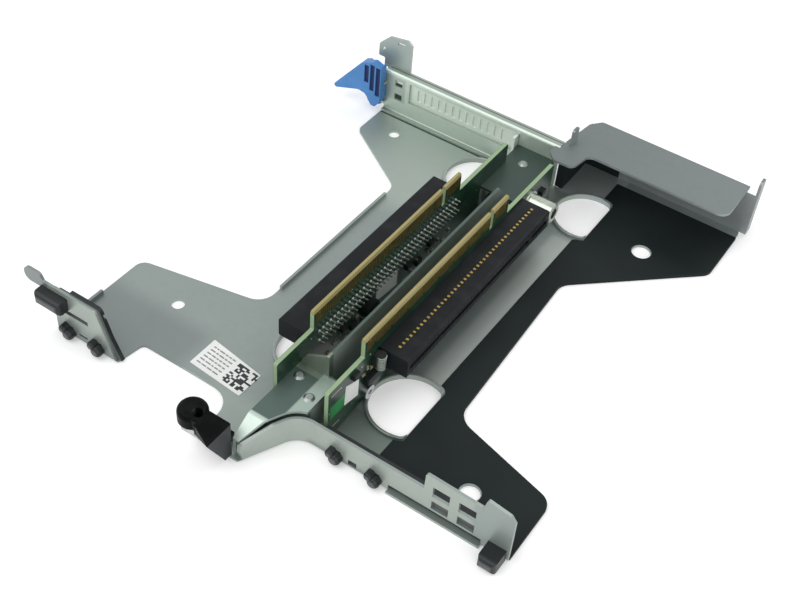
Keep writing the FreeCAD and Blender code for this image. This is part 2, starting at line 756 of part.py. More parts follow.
def side_screw(x, y, z, direction):
    """A screw along X whose head bears on the plane x and whose shank runs inwards."""
    grip = BOARD_T + SCREW_GRIP
    head = rod((x, y, z), (-direction, 0, 0), SCREW_HEAD_R, SCREW_HEAD_H)
    shank = rod((x, y, z), (direction, 0, 0), SCREW_R, grip)
    recess = rod((x - direction * SCREW_HEAD_H, y, z), (direction, 0, 0), 0.9, 0.8)
    return join(head, shank).cut(recess)


def make_board_screws():
    """Screws that hold both boards to the divider."""
    outer = BOARD_FACE_X + BOARD_T
    screws = []
    for side, y, z in board_screw_places():
        if side == "left":
            screws.append(side_screw(-outer, y, z, 1))
        else:
            screws.append(side_screw(outer, y, z, -1))
    return group(screws)


def rear_wall_section():
    """Side view of the left rear wall: foot, wall and top return in one strip."""
    foot_y = WALL_FRONT_Y - FOOT_DEPTH
    back = WALL_FRONT_Y + SHEET
    return_y = WALL_FRONT_Y + RETURN_DEPTH
    return [
        (foot_y, SHEET, 0),
        (back, SHEET, BEND_R),
        (back, WALL_TOP - SHEET, 0.3),
        (return_y, WALL_TOP - SHEET, 0),
        (return_y, WALL_TOP, 0),
        (WALL_FRONT_Y, WALL_TOP, BEND_R),
        (WALL_FRONT_Y, 2 * SHEET, 0.3),
        (foot_y, 2 * SHEET, 0),
    ]


def latch_ear(z):
    """A flat ear that carries the latch pin, folded out of the wall's end."""
    reach = box(PIN_X, REAR_LEFT_X + 1, PIN_Y - EAR_R, PIN_Y + EAR_R, z, z + SHEET)
    end = rod((PIN_X, PIN_Y, z), (0, 0, 1), EAR_R, SHEET)
    return reach.fuse(end)


def make_rear_wall():
    """Left rear wall with its card slot, upright tab and the latch's two ears."""
    wall = panel_yz(rear_wall_section(), REAR_LEFT_X, WALL_RIGHT_X)
    tab_y = WALL_FRONT_Y + RETURN_DEPTH - SHEET
    low = WALL_TOP - SHEET
    tab = panel_xz([
        (-74.7, low, 0),
        (-62.6, low, 0),
        (-62.6, TAB_PLATE_TOP - 1.6, 0.5),
        (-64.4, TAB_PLATE_TOP, 0.8),
        (-73.0, TAB_PLATE_TOP - 1.4, 1.0),
        (-77.6, TAB_PLATE_TOP - 6.0, 1.0),
        (-77.6, WALL_TOP + 2.8, 0.5),
        (-74.7, WALL_TOP + 2.8, 0.5),
    ], tab_y, tab_y + SHEET)
    ears = [latch_ear(z) for z in EAR_Z]
    body = join(wall, tab, *ears)
    behind = WALL_FRONT_Y + SHEET + 1
    cutters = [box(SLOT_LEFT_X, SLOT_RIGHT_X, WALL_FRONT_Y - 1, behind, SLOT_BOTTOM, SLOT_TOP)]
    for z in (8.0, 14.2):
        cutters.append(box(-67.2, -63.8, WALL_FRONT_Y - 1, behind, z, z + 2.8))
    cutters.append(box(-69.2, -65.8, tab_y - 1, tab_y + 2, 31.0, 32.0))
    cutters.append(rod((-75.4, tab_y - 1, 26.6), (0, 1, 0), 0.7, SHEET + 2))
    cutters.append(rod((PIN_X, PIN_Y, 0), (0, 0, 1), PIN_R, WALL_TOP))
    return body.cut(cutters)


def make_left_filler():
    """Cover strip with pressed vents behind the left card slot, its right end hooked forward."""
    y0 = WALL_FRONT_Y + SHEET
    body = box(FILLER_LEFT_X, SLOT_RIGHT_X + FILLER_EDGE, y0, y0 + SHEET,
               SLOT_BOTTOM - FILLER_EDGE, WALL_TOP - SHEET - CLEAR)
    hook_x = SLOT_RIGHT_X - CLEAR
    hook = box(hook_x - SHEET, hook_x, WALL_FRONT_Y - 3.0, y0 + SHEET,
               SLOT_BOTTOM + CLEAR, SLOT_TOP - CLEAR)
    middle = (SLOT_BOTTOM + SLOT_TOP) / 2
    first_x = SLOT_LEFT_X + 3.4
    vents = []
    for index in range(VENT_COUNT):
        x = first_x + index * VENT_PITCH
        radius = VENT_W / 2 - SLIVER
        low = middle - VENT_H / 2
        high = middle + VENT_H / 2
        vents.append(panel_xz([
            (x, low, radius), (x + VENT_W, low, radius),
            (x + VENT_W, high, radius), (x, high, radius),
        ], y0 - 1, y0 + VENT_DEPTH))
    return join(body, hook).cut(vents)


def cover_corners():
    """Plan of the right cover, with the lobe at its front left."""
    front = COVER_FRONT_Y
    wall_gap_x = WALL_RIGHT_X + CLEAR
    return [
        (4.6, WALL_FRONT_Y - CLEAR, 0.4),
        (4.6, front - 6.8, 1.5),
        (8.0, front - 10.3, 2.5),
        (16.0, front - 10.0, 3.0),
        (17.4, front, 3.0),
        (COVER_RIGHT_X, front, 4.0),
        (COVER_RIGHT_X, COVER_REAR_Y, 0),
        (STEP_X + 3.4, COVER_REAR_Y, 1.5),
        (STEP_X, COVER_REAR_Y - 4.4, 2.0),
        (wall_gap_x, front + 2.5, 0.5),
        (wall_gap_x, WALL_FRONT_Y - CLEAR, 0),
    ]


def make_rear_cover():
    """Cover over the right slot: flat top, rear and side walls, end fin and a small upstand."""
    low = COVER_TOP - SHEET
    top = slab(cover_corners(), low, COVER_TOP)
    rear = REAR_RIGHT_Y
    wall = box(STEP_X, COVER_RIGHT_X, rear - SHEET, rear, SHEET, low)
    side = box(STEP_X, STEP_X + SHEET, COVER_SIDE_FRONT_Y, rear, SHEET, low)
    wall_end = box(COVER_RIGHT_X, COVER_WALL_RIGHT_X, rear - SHEET, rear, SHEET, COVER_TOP - BEND_R)
    fin = panel_yz([
        (rear - SHEET, SHEET, 0),
        (FIN_REAR_Y, SHEET, 1.0),
        (FIN_REAR_Y, FIN_TOP, 1.0),
        (rear - SHEET, FIN_TOP, 1.5),
    ], COVER_WALL_RIGHT_X, COVER_WALL_RIGHT_X + SHEET)
    upstand_y = COVER_FRONT_Y + 1.2
    upstand = panel_yz([
        (upstand_y, low, 0),
        (upstand_y + UPSTAND_L, low, 0),
        (upstand_y + UPSTAND_L, UPSTAND_TOP, 0.8),
        (upstand_y, UPSTAND_TOP, 0.8),
    ], UPSTAND_X, UPSTAND_X + SHEET)
    body = join(top, wall, side, wall_end, fin, upstand)
    slot = box(30.0, 68.0, rear - SHEET - 1, rear + 1, SLOT_BOTTOM, SLOT_TOP - 1.0)
    return body.cut(slot)


def make_cover_film():
    """Black film folded round the cover's side wall and along its rear wall."""
    x0 = STEP_X + SHEET
    y0 = COVER_SIDE_FRONT_Y
    y1 = REAR_RIGHT_Y - SHEET
    lap = box(WALL_RIGHT_X + CLEAR, x0 + FILM_T, y0 - FILM_T, y0, SHEET, COVER_FILM_TOP)
    side = box(x0, x0 + FILM_T, y0 - FILM_T, y1, SHEET, COVER_FILM_TOP)
    rear = box(x0, COVER_FILM_RIGHT_X, y1 - FILM_T, y1, SHEET, COVER_FILM_TOP)
    return join(lap, side, rear)


def make_right_filler():
    """Plain cover strip behind the right card slot."""
    y0 = REAR_RIGHT_Y
    return box(28.0, 70.0, y0, y0 + SHEET, SLOT_BOTTOM - FILLER_EDGE, SLOT_TOP + 0.2)


def make_latch():
    """Blue latch: hub on the pin, ribbed thumb block and a pointed fin."""
    fin = panel_xz([
        (LATCH_TIP_X, LATCH_BOTTOM, 1.0),
        (PIN_X - 5.8, LATCH_FIN_Z, 3.0),
        (PIN_X - 2.3, LATCH_FIN_Z - 0.6, 2.0),
        (PIN_X + 0.6, LATCH_BOTTOM, 1.0),
        (LATCH_RIGHT_X - 2.2, LATCH_BOTTOM, 1.0),
        (LATCH_RIGHT_X, LATCH_BOTTOM + 2.8, 1.0),
        (LATCH_RIGHT_X, LATCH_TOP - 1.4, 1.2),
        (PIN_X + 1.0, LATCH_TOP, 2.0),
        (PIN_X - 4.6, LATCH_TOP - 2.4, 2.5),
    ], LATCH_FRONT_Y, LATCH_BACK_Y)
    hub = rod((PIN_X, PIN_Y, LATCH_BOTTOM), (0, 0, 1), HUB_R, HUB_TOP - LATCH_BOTTOM)
    body = join(fin, hub)
    cutters = [rod((PIN_X, PIN_Y, 0), (0, 0, 1), PIN_R + PIN_RUNNING, LATCH_TOP + 4)]
    cutters.append(rod((PIN_X, PIN_Y, HUB_TOP), (0, 0, 1), PIN_HEAD_R + CLEAR, LATCH_TOP))
    cutters.append(box(PIN_X + 0.8, REAR_LEFT_X, PIN_Y - 2.1, PIN_Y + HUB_R, HUB_TOP + 1.6, LATCH_TOP + 1))
    for z in EAR_Z:
        sweep = HUB_R + 0.5
        cutters.append(rod((PIN_X, PIN_Y, z - CLEAR), (0, 0, 1), sweep, SHEET + 2 * CLEAR))
        cutters.append(box(PIN_X, LATCH_RIGHT_X + 1, PIN_Y - EAR_R - CLEAR, PIN_Y + HUB_R + 1,
                           z - CLEAR, z + SHEET + CLEAR))
    for x, (low, high) in zip(GROOVE_X, GROOVE_Z):
        cutters.append(box(x, x + GROOVE_W, LATCH_FRONT_Y - 1, LATCH_FRONT_Y + GROOVE_DEPTH, low, high))
    return body.cut(cutters)


def make_latch_pin():
    """Steel pin held in the two ears, with a small head on top."""
    head_z = HUB_TOP + CLEAR
    shank = rod((PIN_X, PIN_Y, LATCH_BOTTOM), (0, 0, 1), PIN_R, head_z - LATCH_BOTTOM)
    head = rod((PIN_X, PIN_Y, head_z), (0, 0, 1), PIN_HEAD_R, 0.8)
    return join(shank, head)


def peg(x, z, radius, front_y):
    """A round-nosed peg that reaches forward from a flange."""
    bar = rod((x, front_y, z), (0, -1, 0), radius, SNAP_REACH)
    nose = [edge for edge in bar.Edges if edge.BoundBox.YMax < front_y - SNAP_REACH + SLIVER]
    return bar.makeFillet(radius * 0.7, nose)


def snap(centre, front_y):
    """Two round pegs on a stem that snap through a flange."""
    half = SNAP_STEM_W / 2
    low_peg = peg(centre + half - 0.8, SNAP_BOTTOM + PEG_LOW_R, PEG_LOW_R, front_y)
    high_peg = peg(centre - half + 0.5, SNAP_STEM_Z[1] - 0.3, PEG_HIGH_R, front_y)
    stem = box(centre - half, centre + half, front_y - 1.4, front_y + SHEET, *SNAP_STEM_Z)
    return join(stem, low_peg, high_peg)


def end_block(block, front_y):
    """Black end block in front of a flange, carried by a stem through it."""
    left, right, low, high, reach = block
    body = box(left, right, front_y - reach, front_y, low, high)
    front_edges = [edge for edge in body.Edges if max(v.Y for v in edge.Vertexes) < front_y - 1]
    body = body.makeFillet(BLOCK_ROUND, front_edges)
    return join(body, block_stem(block, 0, front_y - 1, front_y + SHEET))


def make_left_guide():
    """Left card guide behind its flange, with snaps, end block and a card groove."""
    y0 = FRONT_LEFT_Y + SHEET
    slope = LEFT_FLANGE_SLOPE_X
    top = LEFT_FLANGE_H + GUIDE_OVER_FLANGE
    strip = panel_xz([
        (LEFT_X + 1.0, SHEET, 0),
        (FRONT_WING_END_X + 1.4, SHEET, 0),
        (FRONT_WING_END_X - 2.4, 9.2, 1.5),
        (slope + 1.0, top, 2.0),
        (slope - 11.6, top, 0.5),
        (slope - 13.0, LEFT_FLANGE_H - 1.6, 0.5),
        (LEFT_X + 1.0, LEFT_FLANGE_H - 1.6, 0.5),
    ], y0, y0 + LEFT_GUIDE_T)
    snaps = [snap(centre, FRONT_LEFT_Y) for centre in LEFT_SNAP_X]
    body = join(strip, end_block(LEFT_BLOCK, FRONT_LEFT_Y), *snaps)
    half = GUIDE_GROOVE_W / 2
    groove_y = y0 + LEFT_GUIDE_T - GUIDE_GROOVE_DEPTH
    groove = box(LEFT_X, FRONT_WING_END_X + 2.0, groove_y, y0 + LEFT_GUIDE_T + 1,
                 CONNECTOR_MID_Z - half, CONNECTOR_MID_Z + half)
    return body.cut(groove)


def make_right_guide():
    """Right card guide: a low rail behind its flange, with snaps and end block."""
    y0 = FRONT_RIGHT_Y + SHEET
    rail_z = SHEET + FILM_T
    rail = box(11.0, RIGHT_X - 1.0, y0, y0 + RIGHT_GUIDE_T, rail_z, RAIL_TOP)
    snaps = [snap(centre, FRONT_RIGHT_Y) for centre in RIGHT_SNAP_X]
    return join(rail, end_block(RIGHT_BLOCK, FRONT_RIGHT_Y), *snaps)


def make_front_post():
    """Black post on the tongue: body with a sloping underside, barrel on a neck and a foot."""
    plan = slab([
        (POST_LEFT_X, POST_BACK_Y, 0),
        (POST_LEFT_X, POST_FRONT_Y + POST_CUT_Y, 0.3),
        (POST_RIGHT_X - POST_CUT_X, POST_FRONT_Y + POST_CUT_Y, 0),
        (POST_RIGHT_X, POST_FRONT_Y, 0.3),
        (POST_RIGHT_X, POST_BACK_Y, 0.6),
    ], SHEET, POST_TOP)
    depth = POST_TOP + 2 * SHEET
    under = Part.Face(Part.makePolygon([
        V(0, 0, 0), V(0, -depth, 0), V(0, -depth, -depth), V(0, depth / POST_SLOPE, -depth), V(0, 0, 0)]))
    under = under.extrude(V(3 * depth, 0, 0))
    under.translate(V(-1.5 * depth, 0, 0))
    under.rotate(V(0, 0, 0), V(0, 0, 1), -math.degrees(math.atan(POST_SLANT)))
    under.translate(V(POST_RIGHT_X, POST_FRONT_Y, POST_TOP))
    neck = box(POST_BARREL_X, POST_LEFT_X + 1, POST_BARREL_Y - POST_BARREL_R + 1, POST_BACK_Y,
               POST_BARREL_Z, POST_TOP)
    barrel_l = POST_TOP + 0.8 - POST_BARREL_Z
    barrel = rod((POST_BARREL_X, POST_BARREL_Y, POST_BARREL_Z), (0, 0, 1), POST_BARREL_R, barrel_l)
    top_rim = [edge for edge in barrel.Edges if edge.BoundBox.ZMin > POST_TOP]
    barrel = barrel.makeFillet(2.0, top_rim)
    foot = box(POST_LEFT_X - 2.0, POST_RIGHT_X - 3.0, POST_BACK_Y - 1, POST_SCREW_Y + 2.4,
               SHEET, POST_FOOT_TOP)
    recess = rod((POST_BARREL_X + 2.6, POST_BARREL_Y - 0.8, POST_TOP - 3.0), (0, 0, 1), 1.7, 6.0)
    bore = rod((POST_SCREW_X, POST_SCREW_Y, 0), (0, 0, 1), SCREW_R, 8.0)
    return join(plan.cut(under), neck, barrel, foot).cut([recess, bore])


def make_post_screw():
    """Screw that clamps the post's foot to the tongue, its flat end flush underneath."""
    top = POST_FOOT_TOP
    shank = rod((POST_SCREW_X, POST_SCREW_Y, 0), (0, 0, 1), SCREW_R, top)
    head = rod((POST_SCREW_X, POST_SCREW_Y, top), (0, 0, 1), SCREW_HEAD_R * 0.8, SCREW_HEAD_H)
    recess = rod((POST_SCREW_X, POST_SCREW_Y, top + SCREW_HEAD_H - 0.8), (0, 0, 1), 0.8, 1.0)
    return join(shank, head).cut(recess)


def make_post_clip():
    """Small bent steel clip on the left side of the post, under its barrel."""
    x1 = POST_LEFT_X
    y0 = POST_BARREL_Y - POST_CLIP_FRONT
    top = POST_CLIP_Z + POST_CLIP_H
    plate = box(x1 - SHEET, x1, y0, y0 + POST_CLIP_L, POST_CLIP_Z, POST_BARREL_Z)
    arm = box(x1 - POST_CLIP_ARM, x1, y0, y0 + SHEET, POST_CLIP_Z, top)
    return join(plate, arm)


def make_standoff():
    """Bright round standoff on the right board, flanged where it meets the board."""
    x0 = BOARD_FACE_X + BOARD_T
    flange = rod((x0, STANDOFF_Y, STANDOFF_Z), (1, 0, 0), STANDOFF_FLANGE_R, 1.0)
    barrel = rod((x0, STANDOFF_Y, STANDOFF_Z), (1, 0, 0), STANDOFF_R, STANDOFF_L)
    tip = x0 + STANDOFF_L - SLIVER
    rim = [edge for edge in barrel.Edges if edge.BoundBox.XMin > tip]
    barrel = barrel.makeChamfer(0.4, rim)
    bore = rod((x0 - 1, STANDOFF_Y, STANDOFF_Z), (1, 0, 0), SCREW_R, 8.0)
    hole_x = x0 + STANDOFF_L - STANDOFF_HOLE_L
    hole = rod((hole_x, STANDOFF_Y, STANDOFF_Z), (1, 0, 0), STANDOFF_HOLE_R, STANDOFF_HOLE_L + 1)
    return join(flange, barrel).cut([bore, hole])


def make_standoff_screw():
    """Screw through the right board into the standoff."""
    x = BOARD_FACE_X
    head = rod((x - SCREW_HEAD_H, STANDOFF_Y, STANDOFF_Z), (1, 0, 0), SCREW_HEAD_R, SCREW_HEAD_H)
    shank = rod((x, STANDOFF_Y, STANDOFF_Z), (1, 0, 0), SCREW_R, BOARD_T + 5.0)
    recess = rod((x - SCREW_HEAD_H, STANDOFF_Y, STANDOFF_Z), (1, 0, 0), 0.9, 0.8)
    return join(head, shank).cut(recess)


def make_film():
    """Black insulating film on the right wing, folded over its edge."""
    jog = FILM_REAR_JOG_Y
    wrapped = inset_slab(-FILM_T, FILM_EDGE_Z, SHEET + FILM_T).cut(plate_face().extrude(V(0, 0, SHEET)))
    keep = slab([
        (FILM_EDGE_X, FRONT_RIGHT_Y + SHEET, 0),
        (RIGHT_X + SHEET, FRONT_RIGHT_Y + SHEET, 0),
        (RIGHT_X + SHEET, FILM_REAR_Y, 0),
        (FILM_REAR_EDGE_X, FILM_REAR_Y, 0),
        (FILM_REAR_EDGE_X, jog[3], 0.5),
        (FILM_REAR_JOG_X, jog[2], 0.5),
        (FILM_REAR_JOG_X, jog[1], 0.5),
        (FILM_EDGE_X, jog[0], 0.5),
        (FILM_EDGE_X, -24.6, 0.5),
        (FILM_JOG_X, -26.6, 0.5),
        (FILM_JOG_X, -47.4, 0.5),
        (FILM_EDGE_X, -49.6, 0.5),
    ], 0, SHEET + 2 * FILM_T)
    flat = wrapped.common(keep)
    holes = []
    for side, cut_x in HOLE_FLAT_X.items():
        beside = box(LEFT_X, cut_x + CLEAR, FRONT_RIGHT_Y, FILM_REAR_Y, 0, 4 * SHEET)
        holes.append(hole_plug(side, SHEET + CLEAR, 0, 4 * SHEET).common(beside))
        x, y, radius = SMALL_HOLES[side]
        holes.append(rod((x, y, 0), (0, 0, 1), radius + CLEAR, 4 * SHEET))
    return flat.cut(holes)


def make_cage_label():
    """Paper label on the front left wing."""
    return slab([(-43.4, -64.0, 0.3), (-21.8, -65.6, 0.3), (-21.6, -54.8, 0.3), (-43.3, -51.7, 0.3)],
                SHEET, SHEET + LABEL_T)


def make_board_labels():
    """Paper labels on the right-hand faces of both boards."""
    left_x = -BOARD_FACE_X
    right_x = BOARD_FACE_X + BOARD_T
    left = panel_yz([(-9.4, 6.4, 0.2), (3.2, 4.8, 0.2), (3.2, 12.0, 0.2), (-9.0, 13.4, 0.2)],
                    left_x, left_x + LABEL_T)
    right = panel_yz([(-54.2, 9.0, 0.2), (-46.9, 7.2, 0.2), (-46.7, 14.4, 0.2), (-53.6, 17.2, 0.2)],
                     right_x, right_x + LABEL_T)
    return left, right


def chip(face_x, direction, y0, y1, z0, z1, height):
    """A low rectangular component on a board face, its outer edges bevelled."""
    x0, x1 = sorted((face_x, face_x + direction * height))
    body = box(x0, x1, y0, y1, z0, z1)
    outer = face_x + direction * height
    rim = [edge for edge in body.Edges if all(abs(v.X - outer) < SLIVER for v in edge.Vertexes)]
    return body.makeChamfer(0.2, rim)


def make_board_parts():
    """Small components on the right-hand faces of the boards."""
    left_x = -BOARD_FACE_X
    right_x = BOARD_FACE_X + BOARD_T
    parts = []
    parts.append(rod((left_x, -14.0, 8.0), (1, 0, 0), 3.6, 2.4))
    for y, z in ((-30.0, 8.6), (-24.5, 5.4), (8.0, 8.0), (14.5, 5.0), (22.0, 8.6)):
        parts.append(chip(left_x, 1, y, y + 3.2, z, z + 2.2, 1.2))
    for y, z in ((BOARD_FRONT_Y + 11.9, 17.4), (BOARD_REAR_Y - 9.0, 12.6), (BOARD_REAR_Y - 8.6, 7.0)):
        parts.append(chip(right_x, 1, y, y + 3.0, z, z + 2.2, 1.3))
    parts.append(chip(right_x, 1, -44.0, -34.0, 9.4, 12.4, 2.0))
    coil_y = RIGHT_CONNECTOR_Y - CLEAR - COIL_R
    coil_base = box(right_x, right_x + COIL_X, coil_y - COIL_R, coil_y + COIL_R, 14.4, 19.6)
    coil = rod((right_x + COIL_X, coil_y, 13.8), (0, 0, 1), COIL_R, 6.4)
    parts.append(join(coil_base, coil))
    return group(parts)


def build():
    """Every node of the bracket by name."""
    left_board, right_board = make_boards()
    left_label, right_label = make_board_labels()
    return {
        "cage_plate": make_cage_plate(),
        "divider": make_divider(),
        "divider_rivets": make_rivets(),
        "left_riser_board": left_board,
        "right_riser_board": right_board,
        "board_screws": make_board_screws(),
        "left_connector": left_connector(LEFT_CONNECTOR_Y),
        "right_connector": mirrored(left_connector(RIGHT_CONNECTOR_Y)),
        "left_solder_tails": left_tails(LEFT_CONNECTOR_Y),
        "right_solder_tails": mirrored(left_tails(RIGHT_CONNECTOR_Y)),
        "rear_wall": make_rear_wall(),
        "left_slot_filler": make_left_filler(),
        "rear_cover": make_rear_cover(),
        "cover_film": make_cover_film(),
        "right_slot_filler": make_right_filler(),
        "latch": make_latch(),
        "latch_pin": make_latch_pin(),
        "left_card_guide": make_left_guide(),
        "right_card_guide": make_right_guide(),
        "front_post": make_front_post(),
        "post_screw": make_post_screw(),
        "post_clip": make_post_clip(),
        "standoff": make_standoff(),
        "standoff_screw": make_standoff_screw(),
        "insulating_film": make_film(),
        "cage_label": make_cage_label(),
        "left_board_label": left_label,
        "right_board_label": right_label,
        "board_components": make_board_parts(),
    }


def main():
    """Write one STEP file per node."""
    os.makedirs("parts", exist_ok=True)
    for name, shape in build().items():
        print(name, "solids", len(shape.Solids), "valid", shape.isValid(), "mm3", round(shape.Volume, 1))
        shape.exportStep("parts/" + name + ".step")


main()
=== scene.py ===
"""Looks of a riser cage bracket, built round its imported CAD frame.

Sizes are in millimetres in the frame's axes: x to the right, y to the rear and z up from
the underside of the cage plate. Only finished meshes are in metres.
"""

import logging
import math
import random
from dataclasses import dataclass
from enum import Enum
from typing import Iterable, Sequence

import bmesh
import bpy
from mathutils import Matrix, Vector


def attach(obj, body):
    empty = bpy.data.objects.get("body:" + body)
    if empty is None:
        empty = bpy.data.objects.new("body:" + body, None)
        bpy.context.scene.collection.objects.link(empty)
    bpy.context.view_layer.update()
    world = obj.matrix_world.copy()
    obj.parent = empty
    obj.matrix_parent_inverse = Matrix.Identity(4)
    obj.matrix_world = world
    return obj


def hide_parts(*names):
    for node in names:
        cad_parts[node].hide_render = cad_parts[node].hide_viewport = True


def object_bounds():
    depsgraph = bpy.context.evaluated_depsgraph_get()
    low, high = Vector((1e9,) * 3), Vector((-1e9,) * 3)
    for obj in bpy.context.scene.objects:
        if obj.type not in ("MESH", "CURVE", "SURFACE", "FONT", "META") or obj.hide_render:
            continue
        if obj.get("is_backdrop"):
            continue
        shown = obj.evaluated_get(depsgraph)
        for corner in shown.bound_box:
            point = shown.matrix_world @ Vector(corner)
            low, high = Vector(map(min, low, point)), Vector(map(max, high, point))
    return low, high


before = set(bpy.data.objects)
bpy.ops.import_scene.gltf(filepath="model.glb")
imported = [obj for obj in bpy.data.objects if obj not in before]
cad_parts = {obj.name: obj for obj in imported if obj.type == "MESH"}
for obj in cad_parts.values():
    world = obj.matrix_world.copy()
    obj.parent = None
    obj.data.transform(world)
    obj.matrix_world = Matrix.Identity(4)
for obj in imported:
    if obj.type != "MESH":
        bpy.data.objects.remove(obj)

LOG = logging.getLogger("riser_cage_bracket")
MM = 0.001
CAGE = "cage"
ARM = "latch_arm"

Point = Sequence[float]
Colour = tuple[float, float, float]


class Side(Enum):
    """The left or right riser board."""

    LEFT = -1
    RIGHT = 1


BOARD_FACE_X = 8.9
BOARD_THICKNESS = 1.57
CONNECTOR_LENGTH = 89.0
CONNECTOR_FRONT = {Side.LEFT: -45.7, Side.RIGHT: -36.4}
PIN_PITCH = 2.0
PIN_COUNT = 41


def pin_places(side: Side) -> list[float]:
    """Return y of each contact of a connector, from front to back."""
    first = CONNECTOR_FRONT[side] + (CONNECTOR_LENGTH - (PIN_COUNT - 1) * PIN_PITCH) / 2
    return [first + index * PIN_PITCH for index in range(PIN_COUNT)]


def linear(red: float, green: float, blue: float) -> Colour:
    """Turn a screen colour of 0 to 255 into the linear colour that shaders use."""

    def channel(value: float) -> float:
        """Return one channel of the linear colour."""
        part = value / 255
        return part / 12.92 if part <= 0.04045 else ((part + 0.055) / 1.055) ** 2.4

    return channel(red), channel(green), channel(blue)


class Socket:
    """An output in a shader graph; arithmetic on it adds Math nodes."""

    def __init__(self, graph: "Graph", output: bpy.types.NodeSocket) -> None:
        """Wrap one output of a node of the graph."""
        self.graph = graph
        self.output = output

    def _math(self, operation: str, *operands: "Socket | float") -> "Socket":
        """Add one Math node on the operands and return its value."""
        inputs = dict(enumerate(operands))
        return self.graph.node("ShaderNodeMath", {"operation": operation}, inputs)["Value"]

    def __add__(self, other: "Socket | float") -> "Socket":
        """Return self + other."""
        return self._math("ADD", self, other)

    def __radd__(self, other: "Socket | float") -> "Socket":
        """Return other + self."""
        return self._math("ADD", other, self)

    def __sub__(self, other: "Socket | float") -> "Socket":
        """Return self - other."""
        return self._math("SUBTRACT", self, other)

    def __rsub__(self, other: "Socket | float") -> "Socket":
        """Return other - self."""
        return self._math("SUBTRACT", other, self)

    def __mul__(self, other: "Socket | float") -> "Socket":
        """Return self * other."""
        return self._math("MULTIPLY", self, other)

    def __rmul__(self, other: "Socket | float") -> "Socket":
        """Return other * self."""
        return self._math("MULTIPLY", other, self)

    def __truediv__(self, other: "Socket | float") -> "Socket":
        """Return self / other."""
        return self._math("DIVIDE", self, other)

    def __gt__(self, other: "Socket | float") -> "Socket":
        """Return 1 where self is greater than other."""
        return self._math("GREATER_THAN", self, other)

    def __lt__(self, other: "Socket | float") -> "Socket":
        """Return 1 where self is less than other."""
        return self._math("LESS_THAN", self, other)

    def __abs__(self) -> "Socket":
        """Return the size of self without its sign."""
        return self._math("ABSOLUTE", self)

    def wrapped(self, period: float) -> "Socket":
        """Return self folded into one period, from 0 up."""
        return self._math("FLOORED_MODULO", self, period)

    def clamped(self) -> "Socket":
        """Return self held between 0 and 1."""
        return self._math("MINIMUM", self._math("MAXIMUM", self, 0.0), 1.0)

    def step(self, start: float, end: float) -> "Socket":
        """Return a smooth rise from 0 at start to 1 at end."""
        settings = {"interpolation_type": "SMOOTHSTEP"}
        inputs = {"Value": self, "From Min": start, "From Max": end}
        return self.graph.node("ShaderNodeMapRange", settings, inputs)["Result"]


class Node:
    """A node whose outputs are fetched by name or identifier as sockets."""

    def __init__(self, graph: "Graph", node: bpy.types.Node) -> None:
        """Wrap a node of the graph."""
        self.graph = graph
        self.node = node

    def __getitem__(self, key: str) -> Socket:
        """Return the output with this name or identifier."""
        for output in self.node.outputs:
            if output.enabled and key in (output.identifier, output.name):
                return Socket(self.graph, output)
        raise KeyError(key)


